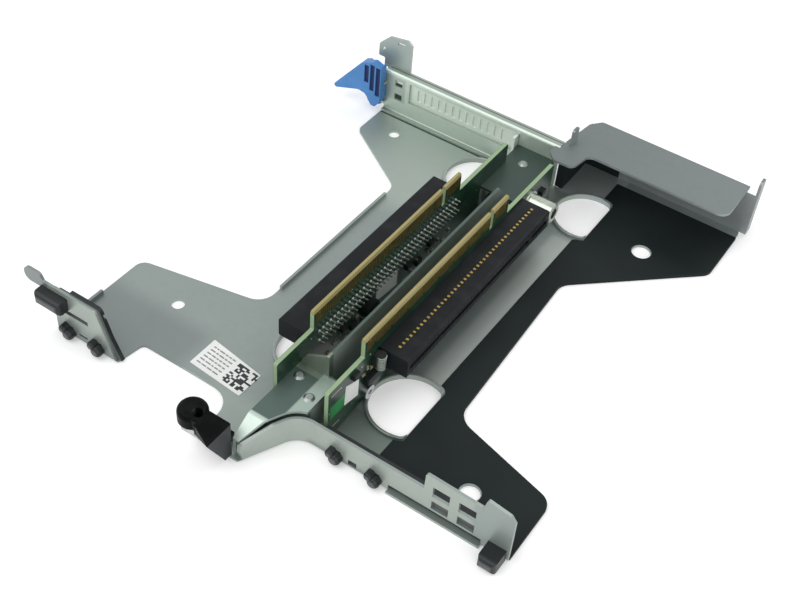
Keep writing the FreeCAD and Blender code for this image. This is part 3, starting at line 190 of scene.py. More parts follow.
class Graph:
    """The node tree of one material or of the world."""

    def __init__(self, name: str, world: bool = False) -> None:
        """Start a material, or the world, with an empty tree."""
        kinds = bpy.data.worlds if world else bpy.data.materials
        self.owner = kinds.new(name)
        self.owner.use_nodes = True
        self.tree = self.owner.node_tree
        self.tree.nodes.clear()

    def node(self, kind: str, settings: dict | None = None, inputs: dict | None = None) -> Node:
        """Add one node.

        Args:
            kind: the node's type name.
            settings: attributes that are set first.
            inputs: socket name, identifier or index to a value or a Socket.

        Returns:
            The wrapped node.
        """
        made = self.tree.nodes.new(kind)
        for key, value in (settings or {}).items():
            setattr(made, key, value)
        for key, value in (inputs or {}).items():
            target = self._find(made, key)
            if isinstance(value, Socket):
                self.tree.links.new(value.output, target)
            else:
                target.default_value = value
        return Node(self, made)

    @staticmethod
    def _find(made: bpy.types.Node, key: str | int) -> bpy.types.NodeSocket:
        """Return an enabled input by index, identifier or name."""
        if isinstance(key, int):
            return made.inputs[key]
        for target in made.inputs:
            if target.enabled and key in (target.identifier, target.name):
                return target
        raise KeyError(f"{made.bl_idname} has no input {key}")

    def place(self) -> tuple[Socket, Socket, Socket]:
        """Return x, y and z of the shaded point in millimetres."""
        spot = self.node("ShaderNodeTexCoord")["Object"]
        parts = self.node("ShaderNodeSeparateXYZ", None, {0: spot})
        return parts["X"] * 1000.0, parts["Y"] * 1000.0, parts["Z"] * 1000.0

    def spot(self, x: float = 1.0, y: float = 1.0, z: float = 1.0) -> Socket:
        """Return the shaded point in millimetres, each axis stretched by a factor."""
        spot = self.node("ShaderNodeTexCoord")["Object"]
        stretch = (x * 1000.0, y * 1000.0, z * 1000.0)
        inputs = {"Vector": spot, "Scale": stretch}
        return self.node("ShaderNodeMapping", None, inputs)["Vector"]

    def noise(self, spot: Socket, size: float, detail: float = 2.0) -> Socket:
        """Return noise from 0 to 1 whose blobs are about size millimetres across."""
        inputs = {"Vector": spot, "Scale": 1.0 / size, "Detail": detail, "Roughness": 0.55}
        return self.node("ShaderNodeTexNoise", {"noise_dimensions": "3D"}, inputs)["Fac"]

    def cells(self, spot: Socket, size: float) -> Socket:
        """Return one random value from 0 to 1 for each cell of about size millimetres."""
        inputs = {"Vector": spot, "Scale": 1.0 / size, "Randomness": 1.0}
        colour = self.node("ShaderNodeTexVoronoi", {"feature": "F1"}, inputs)["Color"]
        return self.node("ShaderNodeSeparateColor", None, {0: colour})["Red"]

    def facing(self, x: float, y: float, z: float) -> Socket:
        """Return how squarely the surface faces a direction, from 0 to 1."""
        normal = self.node("ShaderNodeTexCoord")["Normal"]
        settings = {"operation": "DOT_PRODUCT"}
        return self.node("ShaderNodeVectorMath", settings, {0: normal, 1: (x, y, z)})["Value"].clamped()

    def inside(self, low: Point, high: Point, soft: float) -> Socket:
        """Return 1 inside a box in millimetres, falling to 0 over a soft edge."""
        amount: Socket | float = 1.0
        for along, start, end in zip(self.place(), low, high):
            amount = along.step(start - soft, start) * along.step(end + soft, end) * amount
        return amount

    def seen(self) -> Socket:
        """Return 1 for rays from the camera, mirrors and glass, and 0 for all others."""
        light = self.node("ShaderNodeLightPath")
        return (light["Is Camera Ray"] + light["Is Glossy Ray"] + light["Is Transmission Ray"]).clamped()

    def mix(self, amount: Socket, first: Socket | Colour, second: Socket | Colour) -> Socket:
        """Blend two colours by an amount from 0 to 1."""
        inputs = {"Factor_Float": amount}
        for key, colour in (("A_Color", first), ("B_Color", second)):
            inputs[key] = colour if isinstance(colour, Socket) else (*colour, 1.0)
        return self.node("ShaderNodeMix", {"data_type": "RGBA"}, inputs)["Result_Color"]

    def bump(self, height: Socket, depth: float) -> Socket:
        """Return a normal roughened by a height from 0 to 1, of a depth in millimetres."""
        inputs = {"Height": height, "Strength": 1.0, "Distance": depth * MM}
        return self.node("ShaderNodeBump", None, inputs)["Normal"]

    def finish(self, **inputs: Socket | float | Colour) -> bpy.types.Material:
        """Close the tree with a shader whose inputs are given by name, spaces as _."""
        named = {}
        for key, value in inputs.items():
            colour = isinstance(value, tuple) and len(value) == 3
            named[key.replace("_", " ")] = (*value, 1.0) if colour else value
        shader = self.node("ShaderNodeBsdfPrincipled", None, named)["BSDF"]
        self.node("ShaderNodeOutputMaterial", None, {"Surface": shader})
        return self.owner


@dataclass(frozen=True)
class SheetSteel:
    """Zinc-coated sheet: soft spangle, rolling grain and slight stains.

    Faces that look up take one colour and standing or sloping faces another, as painted light
    and shade; each zone is a box in millimetres with its painted shade or highlight colour and
    the width of its soft edge.
    """

    name: str
    level: Colour
    lit_upright: Colour
    roughness: float = 0.40
    metallic: float = 0.55
    spangle: float = 1.6
    contrast: float = 0.07
    painted_light_zones: tuple[tuple[Point, Point, Colour, float], ...] = ()

    def build(self) -> bpy.types.Material:
        """Make the material."""
        graph = Graph(self.name)
        spot = graph.spot()
        stain = graph.noise(spot, 38.0, 3.0)
        grain = graph.noise(graph.spot(3.0, 0.25, 3.0), 1.1, 2.0)
        flower = graph.cells(spot, self.spangle)
        blend = (stain * 0.7 + flower * 0.18 + grain * 0.22).clamped()
        # Up-facing faces and the rest take separate colours: painted light and shade by which way a face
        # looks.
        up = graph.facing(0.0, 0.0, 1.0).step(0.86, 0.98)
        shades = []
        for factor in (1.0 - 1.6 * self.contrast, 1.0 + self.contrast):
            lit_upright = tuple(min(1.0, part * factor) for part in self.lit_upright)
            level = tuple(min(1.0, part * factor) for part in self.level)
            shades.append(graph.mix(up, lit_upright, level))
        tint = graph.mix(blend, *shades)
        # Each zone paints a patch of shade or highlight on the sheet.
        for low, high, colour, soft in self.painted_light_zones:
            shade = tuple(part * (1.0 - 1.2 * self.contrast) for part in colour)
            tint = graph.mix(graph.inside(low, high, soft), tint, graph.mix(blend, shade, colour))
        rough = stain * 0.10 + grain * 0.07 + (self.roughness - 0.08)
        relief = graph.bump(grain * 0.6 + flower * 0.4, 0.006)
        return graph.finish(Base_Color=tint, Metallic=self.metallic, Roughness=rough, Normal=relief)


@dataclass(frozen=True)
class BrightMetal:
    """Turned or plated metal with fine tool marks."""

    name: str
    colour: Colour
    roughness: float = 0.22

    def build(self) -> bpy.types.Material:
        """Make the material."""
        graph = Graph(self.name)
        spot = graph.spot()
        marks = graph.noise(graph.spot(8.0, 1.0, 1.0), 0.9, 2.0)
        wear = graph.noise(spot, 2.4, 3.0)
        dull = tuple(part * 0.82 for part in self.colour)
        tint = graph.mix(wear.step(0.30, 0.62), dull, self.colour)
        rough = marks * 0.12 + wear * 0.10 + (self.roughness - 0.08)
        relief = graph.bump(marks, 0.004)
        return graph.finish(Base_Color=tint, Metallic=1.0, Roughness=rough, Normal=relief)


@dataclass(frozen=True)
class MouldedPlastic:
    """Moulded plastic with a fine grain and slightly rubbed patches.

    Faces that look the way of turned may take a colour of their own: a painted sheen for the reflection
    they catch.
    """

    name: str
    colour: Colour
    roughness: float = 0.42
    grain: float = 0.22
    depth: float = 0.012
    rubbed: float = 0.35
    highlight: float = 0.3
    turned: Point = (0.0, -1.0, 0.0)
    face: Colour | None = None

    def build(self) -> bpy.types.Material:
        """Make the material."""
        graph = Graph(self.name)
        spot = graph.spot()
        skin = graph.noise(spot, self.grain, 2.0)
        patch = graph.noise(spot, 7.0, 3.0)
        worn = tuple(min(1.0, part * (1.0 + self.rubbed) + 0.004) for part in self.colour)
        tint = graph.mix(patch.step(0.42, 0.72), self.colour, worn)
        # Faces turned that way take the face colour as a painted sheen.
        if self.face is not None:
            amount = graph.facing(*self.turned).step(0.80, 1.0) * (patch * 0.6 + 0.55).clamped()
            tint = graph.mix(amount, tint, self.face)
        rough = patch * 0.16 + skin * 0.06 + (self.roughness - 0.10)
        relief = graph.bump(skin, self.depth)
        return graph.finish(Base_Color=tint, Roughness=rough, Normal=relief,
                            Specular_IOR_Level=self.highlight)


@dataclass(frozen=True)
class BlackFilm:
    """Insulating film: near black, satin, with faint waves."""

    name: str
    colour: Colour

    def build(self) -> bpy.types.Material:
        """Make the material."""
        graph = Graph(self.name)
        spot = graph.spot()
        wave = graph.noise(spot, 26.0, 1.0)
        speck = graph.noise(spot, 0.5, 2.0)
        pale = tuple(part * 1.35 for part in self.colour)
        tint = graph.mix(wave.step(0.3, 0.75), self.colour, pale)
        rough = wave * 0.10 + speck * 0.08 + 0.40
        relief = graph.bump(wave * 0.8 + speck * 0.2, 0.05)
        return graph.finish(Base_Color=tint, Roughness=rough, Normal=relief, Specular_IOR_Level=0.1)


@dataclass(frozen=True)
class CircuitBoard:
    """Solder-masked board: traces and vias on its faces, pale laminate on its edges."""

    name: str
    mask: Colour
    trace: Colour
    edge: Colour
    tip: Colour
    via: Colour
    face_x: float = BOARD_FACE_X
    thickness: float = BOARD_THICKNESS
    tip_z: float = 28.2
    lane_pitch: float = 0.9
    lane_half: float = 0.16
    via_pitch: float = 2.3
    via_size: float = 0.13

    def build(self) -> bpy.types.Material:
        """Make the material."""
        graph = Graph(self.name)
        x, y, z = graph.place()
        spot = graph.spot()
        middle = self.face_x + self.thickness / 2
        on_edge = abs(abs(x) - middle) < (self.thickness / 2 - 0.06)
        bend = graph.noise(spot, 9.0, 1.0)
        lane = (y + z * 0.9 + bend * 6.0).wrapped(self.lane_pitch)
        run = abs(lane - self.lane_pitch / 2) < self.lane_half
        zone = graph.cells(graph.spot(1.0, 0.35, 1.0), 3.2)
        drawn = run * (zone > 0.45)
        hole_spot = graph.spot(0.0, 1.0, 1.0)
        inputs = {"Vector": hole_spot, "Scale": 1.0 / self.via_pitch, "Randomness": 0.9}
        distance = graph.node("ShaderNodeTexVoronoi", {"feature": "F1"}, inputs)["Distance"]
        via = (distance < self.via_size) * (zone > 0.62)
        tint = graph.mix(drawn, self.mask, self.trace)
        tint = graph.mix(via, tint, self.via)
        weave = graph.noise(graph.spot(1.0, 4.0, 0.3), 0.5, 2.0)
        dark_edge = tuple(part * 0.72 for part in self.edge)
        tint = graph.mix(on_edge, tint, graph.mix(weave, dark_edge, self.edge))
        tint = graph.mix(z > self.tip_z, tint, self.tip)
        rough = on_edge * 0.25 + weave * 0.08 + 0.30
        relief = graph.bump(drawn * 0.8 + via * 0.4, 0.035)
        return graph.finish(Base_Color=tint, Roughness=rough, Normal=relief, Coat_Weight=0.15)


@dataclass(frozen=True)
class LabelPaper:
    """Matt white paper with faint fibres and soft clouds."""

    name: str
    colour: Colour

    def build(self) -> bpy.types.Material:
        """Make the material."""
        graph = Graph(self.name)
        spot = graph.spot()
        fibre = graph.noise(spot, 0.35, 3.0)
        cloud = graph.noise(spot, 6.0, 2.0)
        dull = tuple(part * 0.90 for part in self.colour)
        tint = graph.mix((fibre * 0.5 + cloud * 0.5).step(0.35, 0.65), dull, self.colour)
        relief = graph.bump(fibre, 0.01)
        return graph.finish(Base_Color=tint, Roughness=fibre * 0.1 + 0.52, Normal=relief)


class Finishes:
    """Every material of the scene, built once."""

    def __init__(self) -> None:
        """Build all finishes."""
        # Cage colours for up-facing faces and for the rest paint light and shade by facing; each box below
        # paints a patch: lighter ones are painted highlights and reflections, darker ones painted shade.
        self.cage = SheetSteel(
            "cage_steel", linear(140, 150, 147), linear(162, 171, 164), painted_light_zones=(
                ((-75, 46, 0), (-16, 90, 3), linear(164, 175, 168), 14.0),
                ((-103, -80, 13), (-90, -76, 25), linear(132, 138, 138), 1.0),
                ((-90, -80, -1), (-50, -56, 1.2), linear(126, 135, 133), 10.0),
                ((8, -66, -1), (30, -48, 1.1), linear(112, 124, 118), 3.0),
                ((10, 88, -1), (28, 108, 1.1), linear(170, 180, 178), 2.0),
                ((66, -68, 4), (79, -65, 24), linear(150, 160, 156), 2.0),
                ((21.5, -22, 0), (28, 62, 1.1), linear(168, 176, 172), 3.0),
                ((-30, -90, 0), (-6, -68, 3), linear(150, 161, 155), 6.0))).build()
        # Wall colours paint light and shade by facing; its boxes paint a highlight along the top and shade
        # on part of the face.
        self.wall = SheetSteel(
            "wall_steel", linear(150, 160, 153), linear(190, 204, 192), painted_light_zones=(
                ((-90, 89.5, 20.5), (-50, 92, 40), linear(164, 176, 170), 0.6),
                ((-80, 86.95, 8), (-62.8, 87.05, 18), linear(168, 182, 172), 0.8))).build()
        # Divider: the dark colour of up-facing faces is painted shade and the pale colour of the rest
        # painted light; its boxes paint shade on a side face and the rear ledge, light on the front ledge
        # and a reflection on the front slope.
        self.divider = SheetSteel(
            "divider_steel", linear(80, 97, 91), linear(166, 180, 172), 0.42, painted_light_zones=(
                ((-10, -53, 12.6), (3, -49, 24), linear(122, 134, 120), 0.4),
                ((-11, 56, 12.6), (6, 88, 13.2), linear(60, 76, 70), 0.8),
                ((0.6, -73, 12.6), (6, -51, 13.2), linear(158, 175, 165), 0.8),
                ((-10, -90, 0), (6, -75.5, 12.9), linear(186, 200, 192), 0.8))).build()
        # Cover and filler colours for up-facing faces and for the rest paint light and shade by facing.
        self.cover = SheetSteel("cover_steel", linear(110, 118, 118), linear(146, 152, 152), 0.46).build()
        self.filler = SheetSteel("filler_steel", linear(214, 224, 216), linear(216, 226, 216)).build()
        self.rivet = BrightMetal("rivet_steel", linear(150, 158, 154), 0.34).build()
        self.screw = BrightMetal("screw_steel", linear(196, 200, 202), 0.26).build()
        self.standoff = BrightMetal("standoff_metal", linear(178, 186, 174), 0.24).build()
        self.pin = BrightMetal("pin_steel", linear(180, 184, 186), 0.24).build()
        self.clip = BrightMetal("clip_steel", linear(190, 196, 196), 0.24).build()
        self.tail = BrightMetal("tail_metal", linear(150, 160, 152), 0.34).build()
        self.gold = BrightMetal("contact_gold", linear(168, 144, 78), 0.36).build()
        self.board = CircuitBoard(
            "circuit_board", linear(10, 40, 26), linear(26, 70, 44),
            linear(146, 172, 132), linear(152, 141, 92), linear(190, 196, 170)).build()
        self.connector = MouldedPlastic(
            "connector_plastic", linear(24, 27, 30), 0.44, highlight=0.12).build()
        # The post's right faces and the guides' front faces take a painted sheen colour.
        self.post = MouldedPlastic(
            "post_plastic", linear(8, 10, 10), 0.36, highlight=0.05, turned=(1.0, 0.0, 0.0),
            face=linear(66, 70, 71)).build()
        self.guide = MouldedPlastic(
            "guide_plastic", linear(28, 32, 33), 0.36, highlight=0.30, face=linear(88, 92, 92)).build()
        self.component = MouldedPlastic("component_black", linear(30, 34, 33), 0.45, highlight=0.15).build()
        self.latch = MouldedPlastic("latch_plastic", linear(72, 128, 188), 0.36, rubbed=0.12).build()
        # Darker blue for the latch's groove bottoms: painted shade.
        self.groove_shade = MouldedPlastic("latch_groove_shade", linear(10, 32, 80), 0.5, rubbed=0.1).build()
        self.film = BlackFilm("film_black", linear(26, 32, 32)).build()
        self.paper = LabelPaper("label_paper", linear(232, 234, 232)).build()
        self.ink = MouldedPlastic("print_ink", linear(44, 46, 48), 0.6, depth=0.002).build()
        self.grey_ink = MouldedPlastic("pale_ink", linear(128, 132, 132), 0.6, depth=0.002).build()
        self.silk = LabelPaper("board_print", linear(206, 214, 206)).build()
        # Painted shadow and shade for the rear wall's lines and square holes.
        self.seam = MouldedPlastic("seam_shade", linear(44, 60, 48), 0.5, depth=0.002).build()
        self.patch = MouldedPlastic("mask_green", linear(36, 118, 62), 0.35).build()
        self.ceramic = MouldedPlastic("ceramic_tan", linear(150, 128, 96), 0.4).build()


def dress_frame(finishes: Finishes) -> None:
    """Give every CAD node its material.

    Args:
        finishes: the built materials.
    """
    table = {
        "cage_plate": finishes.cage,
        "divider": finishes.divider,
        "divider_rivets": finishes.rivet,
        "left_riser_board": finishes.board,
        "right_riser_board": finishes.board,
        "board_screws": finishes.screw,
        "left_connector": finishes.connector,
        "right_connector": finishes.connector,
        "left_solder_tails": finishes.tail,
        "right_solder_tails": finishes.tail,
        "rear_wall": finishes.wall,
        "left_slot_filler": finishes.filler,
        "rear_cover": finishes.cover,
        # cover_film is a black sheet in the corner under the rear cover, put there as painted shade.
        "cover_film": finishes.film,
        "right_slot_filler": finishes.filler,
        "latch": finishes.latch,
        "latch_pin": finishes.pin,
        "left_card_guide": finishes.guide,
        "right_card_guide": finishes.guide,
        "front_post": finishes.post,
        "post_screw": finishes.screw,
        "post_clip": finishes.clip,
        "standoff": finishes.standoff,
        "standoff_screw": finishes.screw,
        "insulating_film": finishes.film,
        "cage_label": finishes.paper,
        "left_board_label": finishes.paper,
        "right_board_label": finishes.paper,
        "board_components": finishes.component,
    }
    for name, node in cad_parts.items():
        node.data.materials.clear()
        node.data.materials.append(table[name])
        LOG.info("dressed %s", name)


class Shape:
    """A mesh under construction, in millimetres."""

    def __init__(self) -> None:
        """Start empty."""
        self.mesh = bmesh.new()

    def block(self, low: Point, high: Point, bevel: float = 0.0, segments: int = 2,
              turn: Matrix | None = None) -> None:
        """Add a block between two corners.

        Args:
            low: the lowest corner.
            high: the highest corner.
            bevel: how far its edges are rounded.
            segments: how many faces round each edge.
            turn: a further transform of the block.
        """
        first, last = Vector(low), Vector(high)
        size = last - first
        matrix = Matrix.Translation((first + last) / 2) @ Matrix.Diagonal((*size, 1.0))
        matrix = (turn or Matrix.Identity(4)) @ matrix
        made = bmesh.ops.create_cube(self.mesh, size=1.0, matrix=matrix)["verts"]
        if bevel:
            self._round({edge for vert in made for edge in vert.link_edges}, bevel, segments)

    def cone(self, base: Point, axis: Point, radius: float, tip: float, length: float,
             sides: int) -> None:
        """Add a blunt cone.

        Args:
            base: the middle of its wide end.
            axis: the way it runs.
            radius: its radius at the wide end.
            tip: its radius at the far end.
            length: its length.
            sides: how many faces go round it.
        """
        turn = Vector(axis).to_track_quat("Z", "Y").to_matrix().to_4x4()
        matrix = Matrix.Translation(Vector(base)) @ turn @ Matrix.Translation((0, 0, length / 2))
        bmesh.ops.create_cone(self.mesh, cap_ends=True, segments=sides, radius1=radius,
                              radius2=tip, depth=length, matrix=matrix)

    def lathe(self, base: Point, axis: Point, profile: Sequence[tuple[float, float]],
              steps: int = 48) -> None:
        """Spin a profile round an axis.

        Args:
            base: where height 0 of the profile lies on the axis.
            axis: the way the axis runs.
            profile: radius and height of each corner.
            steps: how many faces go round.
        """
        turn = Vector(axis).to_track_quat("Z", "Y").to_matrix().to_4x4()
        matrix = Matrix.Translation(Vector(base)) @ turn
        verts = [self.mesh.verts.new(matrix @ Vector((r, 0, h))) for r, h in profile]
        edges = [self.mesh.edges.new(pair) for pair in zip(verts, verts[1:])]
        bmesh.ops.spin(self.mesh, geom=verts + edges, cent=Vector(base), axis=Vector(axis),
                       angle=2 * math.pi, steps=steps, use_merge=True)
        bmesh.ops.remove_doubles(self.mesh, verts=self.mesh.verts[:], dist=0.0005)

    def trim(self, place: Point, away: Point) -> None:
        """Cut off and close everything beyond a plane, on the side that away points to."""
        geometry = self.mesh.verts[:] + self.mesh.edges[:] + self.mesh.faces[:]
        cut = bmesh.ops.bisect_plane(self.mesh, geom=geometry, plane_co=place, plane_no=away,
                                     clear_outer=True)["geom_cut"]
        rim = [item for item in cut if isinstance(item, bmesh.types.BMEdge)]
        if rim:
            bmesh.ops.holes_fill(self.mesh, edges=rim, sides=0)

    def _round(self, edges: Iterable[bmesh.types.BMEdge], bevel: float, segments: int) -> None:
        """Round a set of edges."""
        bmesh.ops.bevel(self.mesh, geom=list(edges), offset=bevel, offset_type="OFFSET",
                        segments=segments, profile=0.5, affect="EDGES", clamp_overlap=True,
                        material=-1)

    def finish(self, name: str, material: bpy.types.Material, slot: str,
               body: str = CAGE, crease: float = 35.0) -> bpy.types.Object:
        """Turn the mesh into a piece of the scene.

        Args:
            name: the piece's name.
            material: its material.
            slot: the material slot of the record that it belongs to; not used.
            body: the body that it rides on.
            crease: the angle in degrees over which an edge stays sharp.

        Returns:
            The finished object.
        """
        bmesh.ops.recalc_face_normals(self.mesh, faces=self.mesh.faces[:])
        bmesh.ops.scale(self.mesh, vec=(MM, MM, MM), verts=self.mesh.verts[:])
        limit = math.radians(crease)
        for face in self.mesh.faces:
            face.smooth = True
        for edge in self.mesh.edges:
            edge.smooth = edge.is_manifold and edge.calc_face_angle(math.pi) < limit
        data = bpy.data.meshes.new(name)
        self.mesh.to_mesh(data)
        self.mesh.free()
        data.materials.append(material)
        piece = bpy.data.objects.new(name, data)
        bpy.context.scene.collection.objects.link(piece)
        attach(piece, body)
        LOG.info("made %s with %d faces", name, len(data.polygons))
        return piece


@dataclass(frozen=True)
class RiserBoards:
    """Both riser boards: edge contacts, solder tails and small parts on their faces."""

    face_x: float = BOARD_FACE_X
    thickness: float = BOARD_THICKNESS
    tab_front: float = -44.0
    tab_length: float = 85.2
    key_from_front: float = 73.25
    key_width: float = 1.9
    pad_low: float = 23.6
    pad_high: float = 28.0
    pad_width: float = 0.72
    pad_pitch: float = 1.0
    pad_proud: float = 0.035
    short_pad_cut: float = 1.0
    short_pad_every: int = 9
    tail_rows: tuple[float, float] = (14.55, 18.75)
    tail_length: float = 2.1
    tail_half: float = 0.32
    solder: tuple[float, float, float] = (0.70, 0.36, 0.50)
    chip_length: float = 1.6
    chip_width: float = 0.85
    chip_height: float = 0.5
    chip_height_spread: float = 0.2
    chip_end_proud: float = 0.04
    chip_seed: int = 11
    ring_centre: tuple[float, float] = (-14.0, 8.0)
    ring_wall: float = 0.35
    rings: tuple[tuple[float, float], ...] = ((3.9, 0.5), (3.2, 2.7), (1.7, 2.9))
    print_proud: float = 0.03
    patch_proud: float = 0.05

    def build(self, finishes: Finishes) -> None:
        """Make the pieces of both boards."""
        for side in Side:
            self._edge_contacts(side, finishes)
            self._solder_tails(side, finishes)
        self._small_parts(finishes)
        self._markings(finishes)

    def _edge_contacts(self, side: Side, finishes: Finishes) -> None:
        """Plated contact strips on both faces of a board's tab."""
        shape = Shape()
        key = self.tab_front + self.key_from_front
        faces = (self.face_x, self.face_x + self.thickness)
        count = int((self.tab_length - 1.6) / self.pad_pitch)
        for index in range(count):
            y = self.tab_front + 1.0 + index * self.pad_pitch
            if key - self.pad_width < y < key + self.key_width:
                continue
            short = index % self.short_pad_every == self.short_pad_every // 2
            low = self.pad_low + (self.short_pad_cut if short else 0.0)
            for x, way in zip(faces, (-1, 1)):
                near, far = sorted((side.value * x, side.value * (x + way * self.pad_proud)))
                shape.block((near, y, low), (far, y + self.pad_width, self.pad_high))
        shape.finish(f"{side.name.lower()}_edge_contacts", finishes.gold, "tail_metal")

    def _solder_tails(self, side: Side, finishes: Finishes) -> None:
        """Square tails with a solder cone at the foot of each."""
        shape = Shape()
        foot, top, height = self.solder
        root = side.value * self.face_x
        tip = root - side.value * self.tail_length
        for z in self.tail_rows:
            for y in pin_places(side):
                shape.cone((root, y, z), (-side.value, 0, 0), foot, top, height, 8)
                near, far = sorted((root, tip))
                shape.block((near, y - self.tail_half, z - self.tail_half),
                            (far, y + self.tail_half, z + self.tail_half), 0.12, 1)
        name = f"{side.name.lower()}_tails"
        piece = shape.finish(name, finishes.tail, "tail_metal")
        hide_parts(f"{side.name.lower()}_solder_tails")

    def _small_parts(self, finishes: Finishes) -> None:
        """Chip capacitors and resistors with bright ends, and the rings of the round part."""
        rng = random.Random(self.chip_seed)
        bodies, ends = Shape(), Shape()
        left = -self.face_x
        right = self.face_x + self.thickness
        places = [(left, -36.0 + 3.1 * i, 4.0 + 2.2 * (i % 3)) for i in range(8)]
        places += [(left, 12.0 + 3.4 * i, 4.4 + 2.4 * (i % 2)) for i in range(8)]
        places += [(right, -44.8 + 2.1 * i, 14.6 + 1.7 * (i % 2)) for i in range(3)]
        places += [(right, 54.0 + 2.3 * i, 4.6 + 1.4 * (i % 3)) for i in range(4)]
        for x, y, z in places:
            tall = rng.choice((True, False))
            height = self.chip_height + self.chip_height_spread * rng.random()
            if tall:
                half_y, half_z = self.chip_width * 0.3, self.chip_length * 0.3
            else:
                half_y, half_z = self.chip_length * 0.3, self.chip_width / 2
            bodies.block((x, y - half_y, z - half_z), (x + height, y + half_y, z + half_z), 0.05, 1)
            reach, half, cap = self.chip_length * 0.38, self.chip_width / 2, self.chip_length * 0.13
            high = x + height + self.chip_end_proud
            for way in (-reach, reach):
                if tall:
                    low, top = (x, y - half, z + way - cap), (high, y + half, z + way + cap)
                else:
                    low, top = (x, y + way - cap, z - half), (high, y + way + cap, z + half)
                ends.block(low, top, 0.06, 1)
        bodies.finish("chip_bodies", finishes.ceramic, "component_black")
        ends.finish("chip_ends", finishes.tail, "tail_metal")
        ring = Shape()
        for radius, height in self.rings:
            inner = radius - self.ring_wall
            profile = [(inner, 0.0), (inner, height), (radius, height), (radius, 0.0)]
            ring.lathe((left, *self.ring_centre), (1, 0, 0), profile, 40)
        ring.finish("round_part_rings", finishes.component, "component_black")

    def _markings(self, finishes: Finishes) -> None:
        """Printed outlines on the boards and the bright green patch on the right one."""
        print_lines = Shape()
        left = -self.face_x
        right = self.face_x + self.thickness
        for y in (-31.0, -25.5, 7.0, 13.5, 21.0, 30.0):
            for z in (11.6, 3.4):
                print_lines.block((left, y, z), (left + self.print_proud, y + 3.6, z + 0.15))
        for z in (4.4, 11.0, 19.0):
            print_lines.block((right, -61.0, z), (right + self.print_proud, -56.5, z + 0.18))
        print_lines.finish("board_print_lines", finishes.silk, "circuit_board")
        patch = Shape()
        patch.block((right, -61.4, 8.8), (right + self.patch_proud, -53.9, 14.4))
        patch.finish("bright_mask_patch", finishes.patch, "circuit_board")


@dataclass(frozen=True)
class CardConnectors:
    """Both card connectors: contacts in the slot and moulded details."""

    back_x: float = BOARD_FACE_X + BOARD_THICKNESS
    depth: float = 11.0
    low: float = 12.9
    high: float = 20.4
    slot_half: float = 0.9
    contact_half: float = 0.3
    contact_thickness: float = 0.35
    contact_reach: tuple[float, float] = (1.0, 6.0)
    row_count: int = 42
    rib_first: float = 3.0
    rib_width: float = 0.9
    rib_proud: float = 0.08
    rib_low: float = 1.0
    rib_high: float = 2.6
    dot_first: float = 3.5
    dot_x: tuple[float, float] = (15.3, 16.3)
    dot_length: float = 0.8
    coil_x: float = 12.87
    coil_gap: float = 2.0
    coil_z: float = 14.2
    coil_turns: int = 8
    coil_pitch: float = 0.72
    coil_radius: float = 1.66
    wire_radius: float = 0.28

    def build(self, finishes: Finishes) -> None:
        """Make the pieces of both connectors."""
        for side in Side:
            self._contacts(side, finishes)
            self._ribs(side, finishes)
        self._tops(finishes)

    def _contacts(self, side: Side, finishes: Finishes) -> None:
        """Spring contacts along both walls of the card slot."""
        shape = Shape()
        middle = (self.low + self.high) / 2
        inner = self.back_x + self.depth
        x0, x1 = sorted(side.value * (inner - reach) for reach in self.contact_reach)
        for y in pin_places(side):
            for way in (-1, 1):
                near = middle + way * self.slot_half
                z0, z1 = sorted((near, near - way * self.contact_thickness))
                shape.block((x0, y - self.contact_half, z0), (x1, y + self.contact_half, z1), 0.08, 1)
        shape.finish(f"{side.name.lower()}_slot_contacts", finishes.gold, "tail_metal")

    def _ribs(self, side: Side, finishes: Finishes) -> None:
        """Shallow moulded ribs along the mouth of the slot."""
        shape = Shape()
        mouth = self.back_x + self.depth
        x0, x1 = sorted((side.value * mouth, side.value * (mouth + self.rib_proud)))
        rows = ((self.low + self.rib_low, self.low + self.rib_high),
                (self.high - self.rib_high, self.high - self.rib_low))
        for index in range(self.row_count):
            y = CONNECTOR_FRONT[side] + self.rib_first + index * PIN_PITCH
            for z0, z1 in rows:
                shape.block((x0, y, z0), (x1, y + self.rib_width, z1))
        shape.finish(f"{side.name.lower()}_slot_ribs", finishes.connector, "connector_plastic")

    def _tops(self, finishes: Finishes) -> None:
        """Row of bright tail ends on top of the right connector and windings of its coil."""
        dots = Shape()
        front = CONNECTOR_FRONT[Side.RIGHT]
        x0, x1 = self.dot_x
        for index in range(self.row_count):
            y = front + self.dot_first + index * PIN_PITCH
            dots.block((x0, y, self.high - 0.2), (x1, y + self.dot_length, self.high + 0.1), 0.1, 1)
        dots.finish("connector_bright_dots", finishes.gold, "tail_metal")
        coil = Shape()
        profile = []
        for step in range(5):
            angle = math.pi * step / 4
            profile.append((self.coil_radius + self.wire_radius * math.sin(angle),
                            self.wire_radius - self.wire_radius * math.cos(angle)))
        for index in range(self.coil_turns):
            base = (self.coil_x, front - self.coil_gap, self.coil_z + index * self.coil_pitch)
            coil.lathe(base, (0, 0, 1), profile, 20)
        coil.finish("coil_windings", finishes.tail, "component_black")


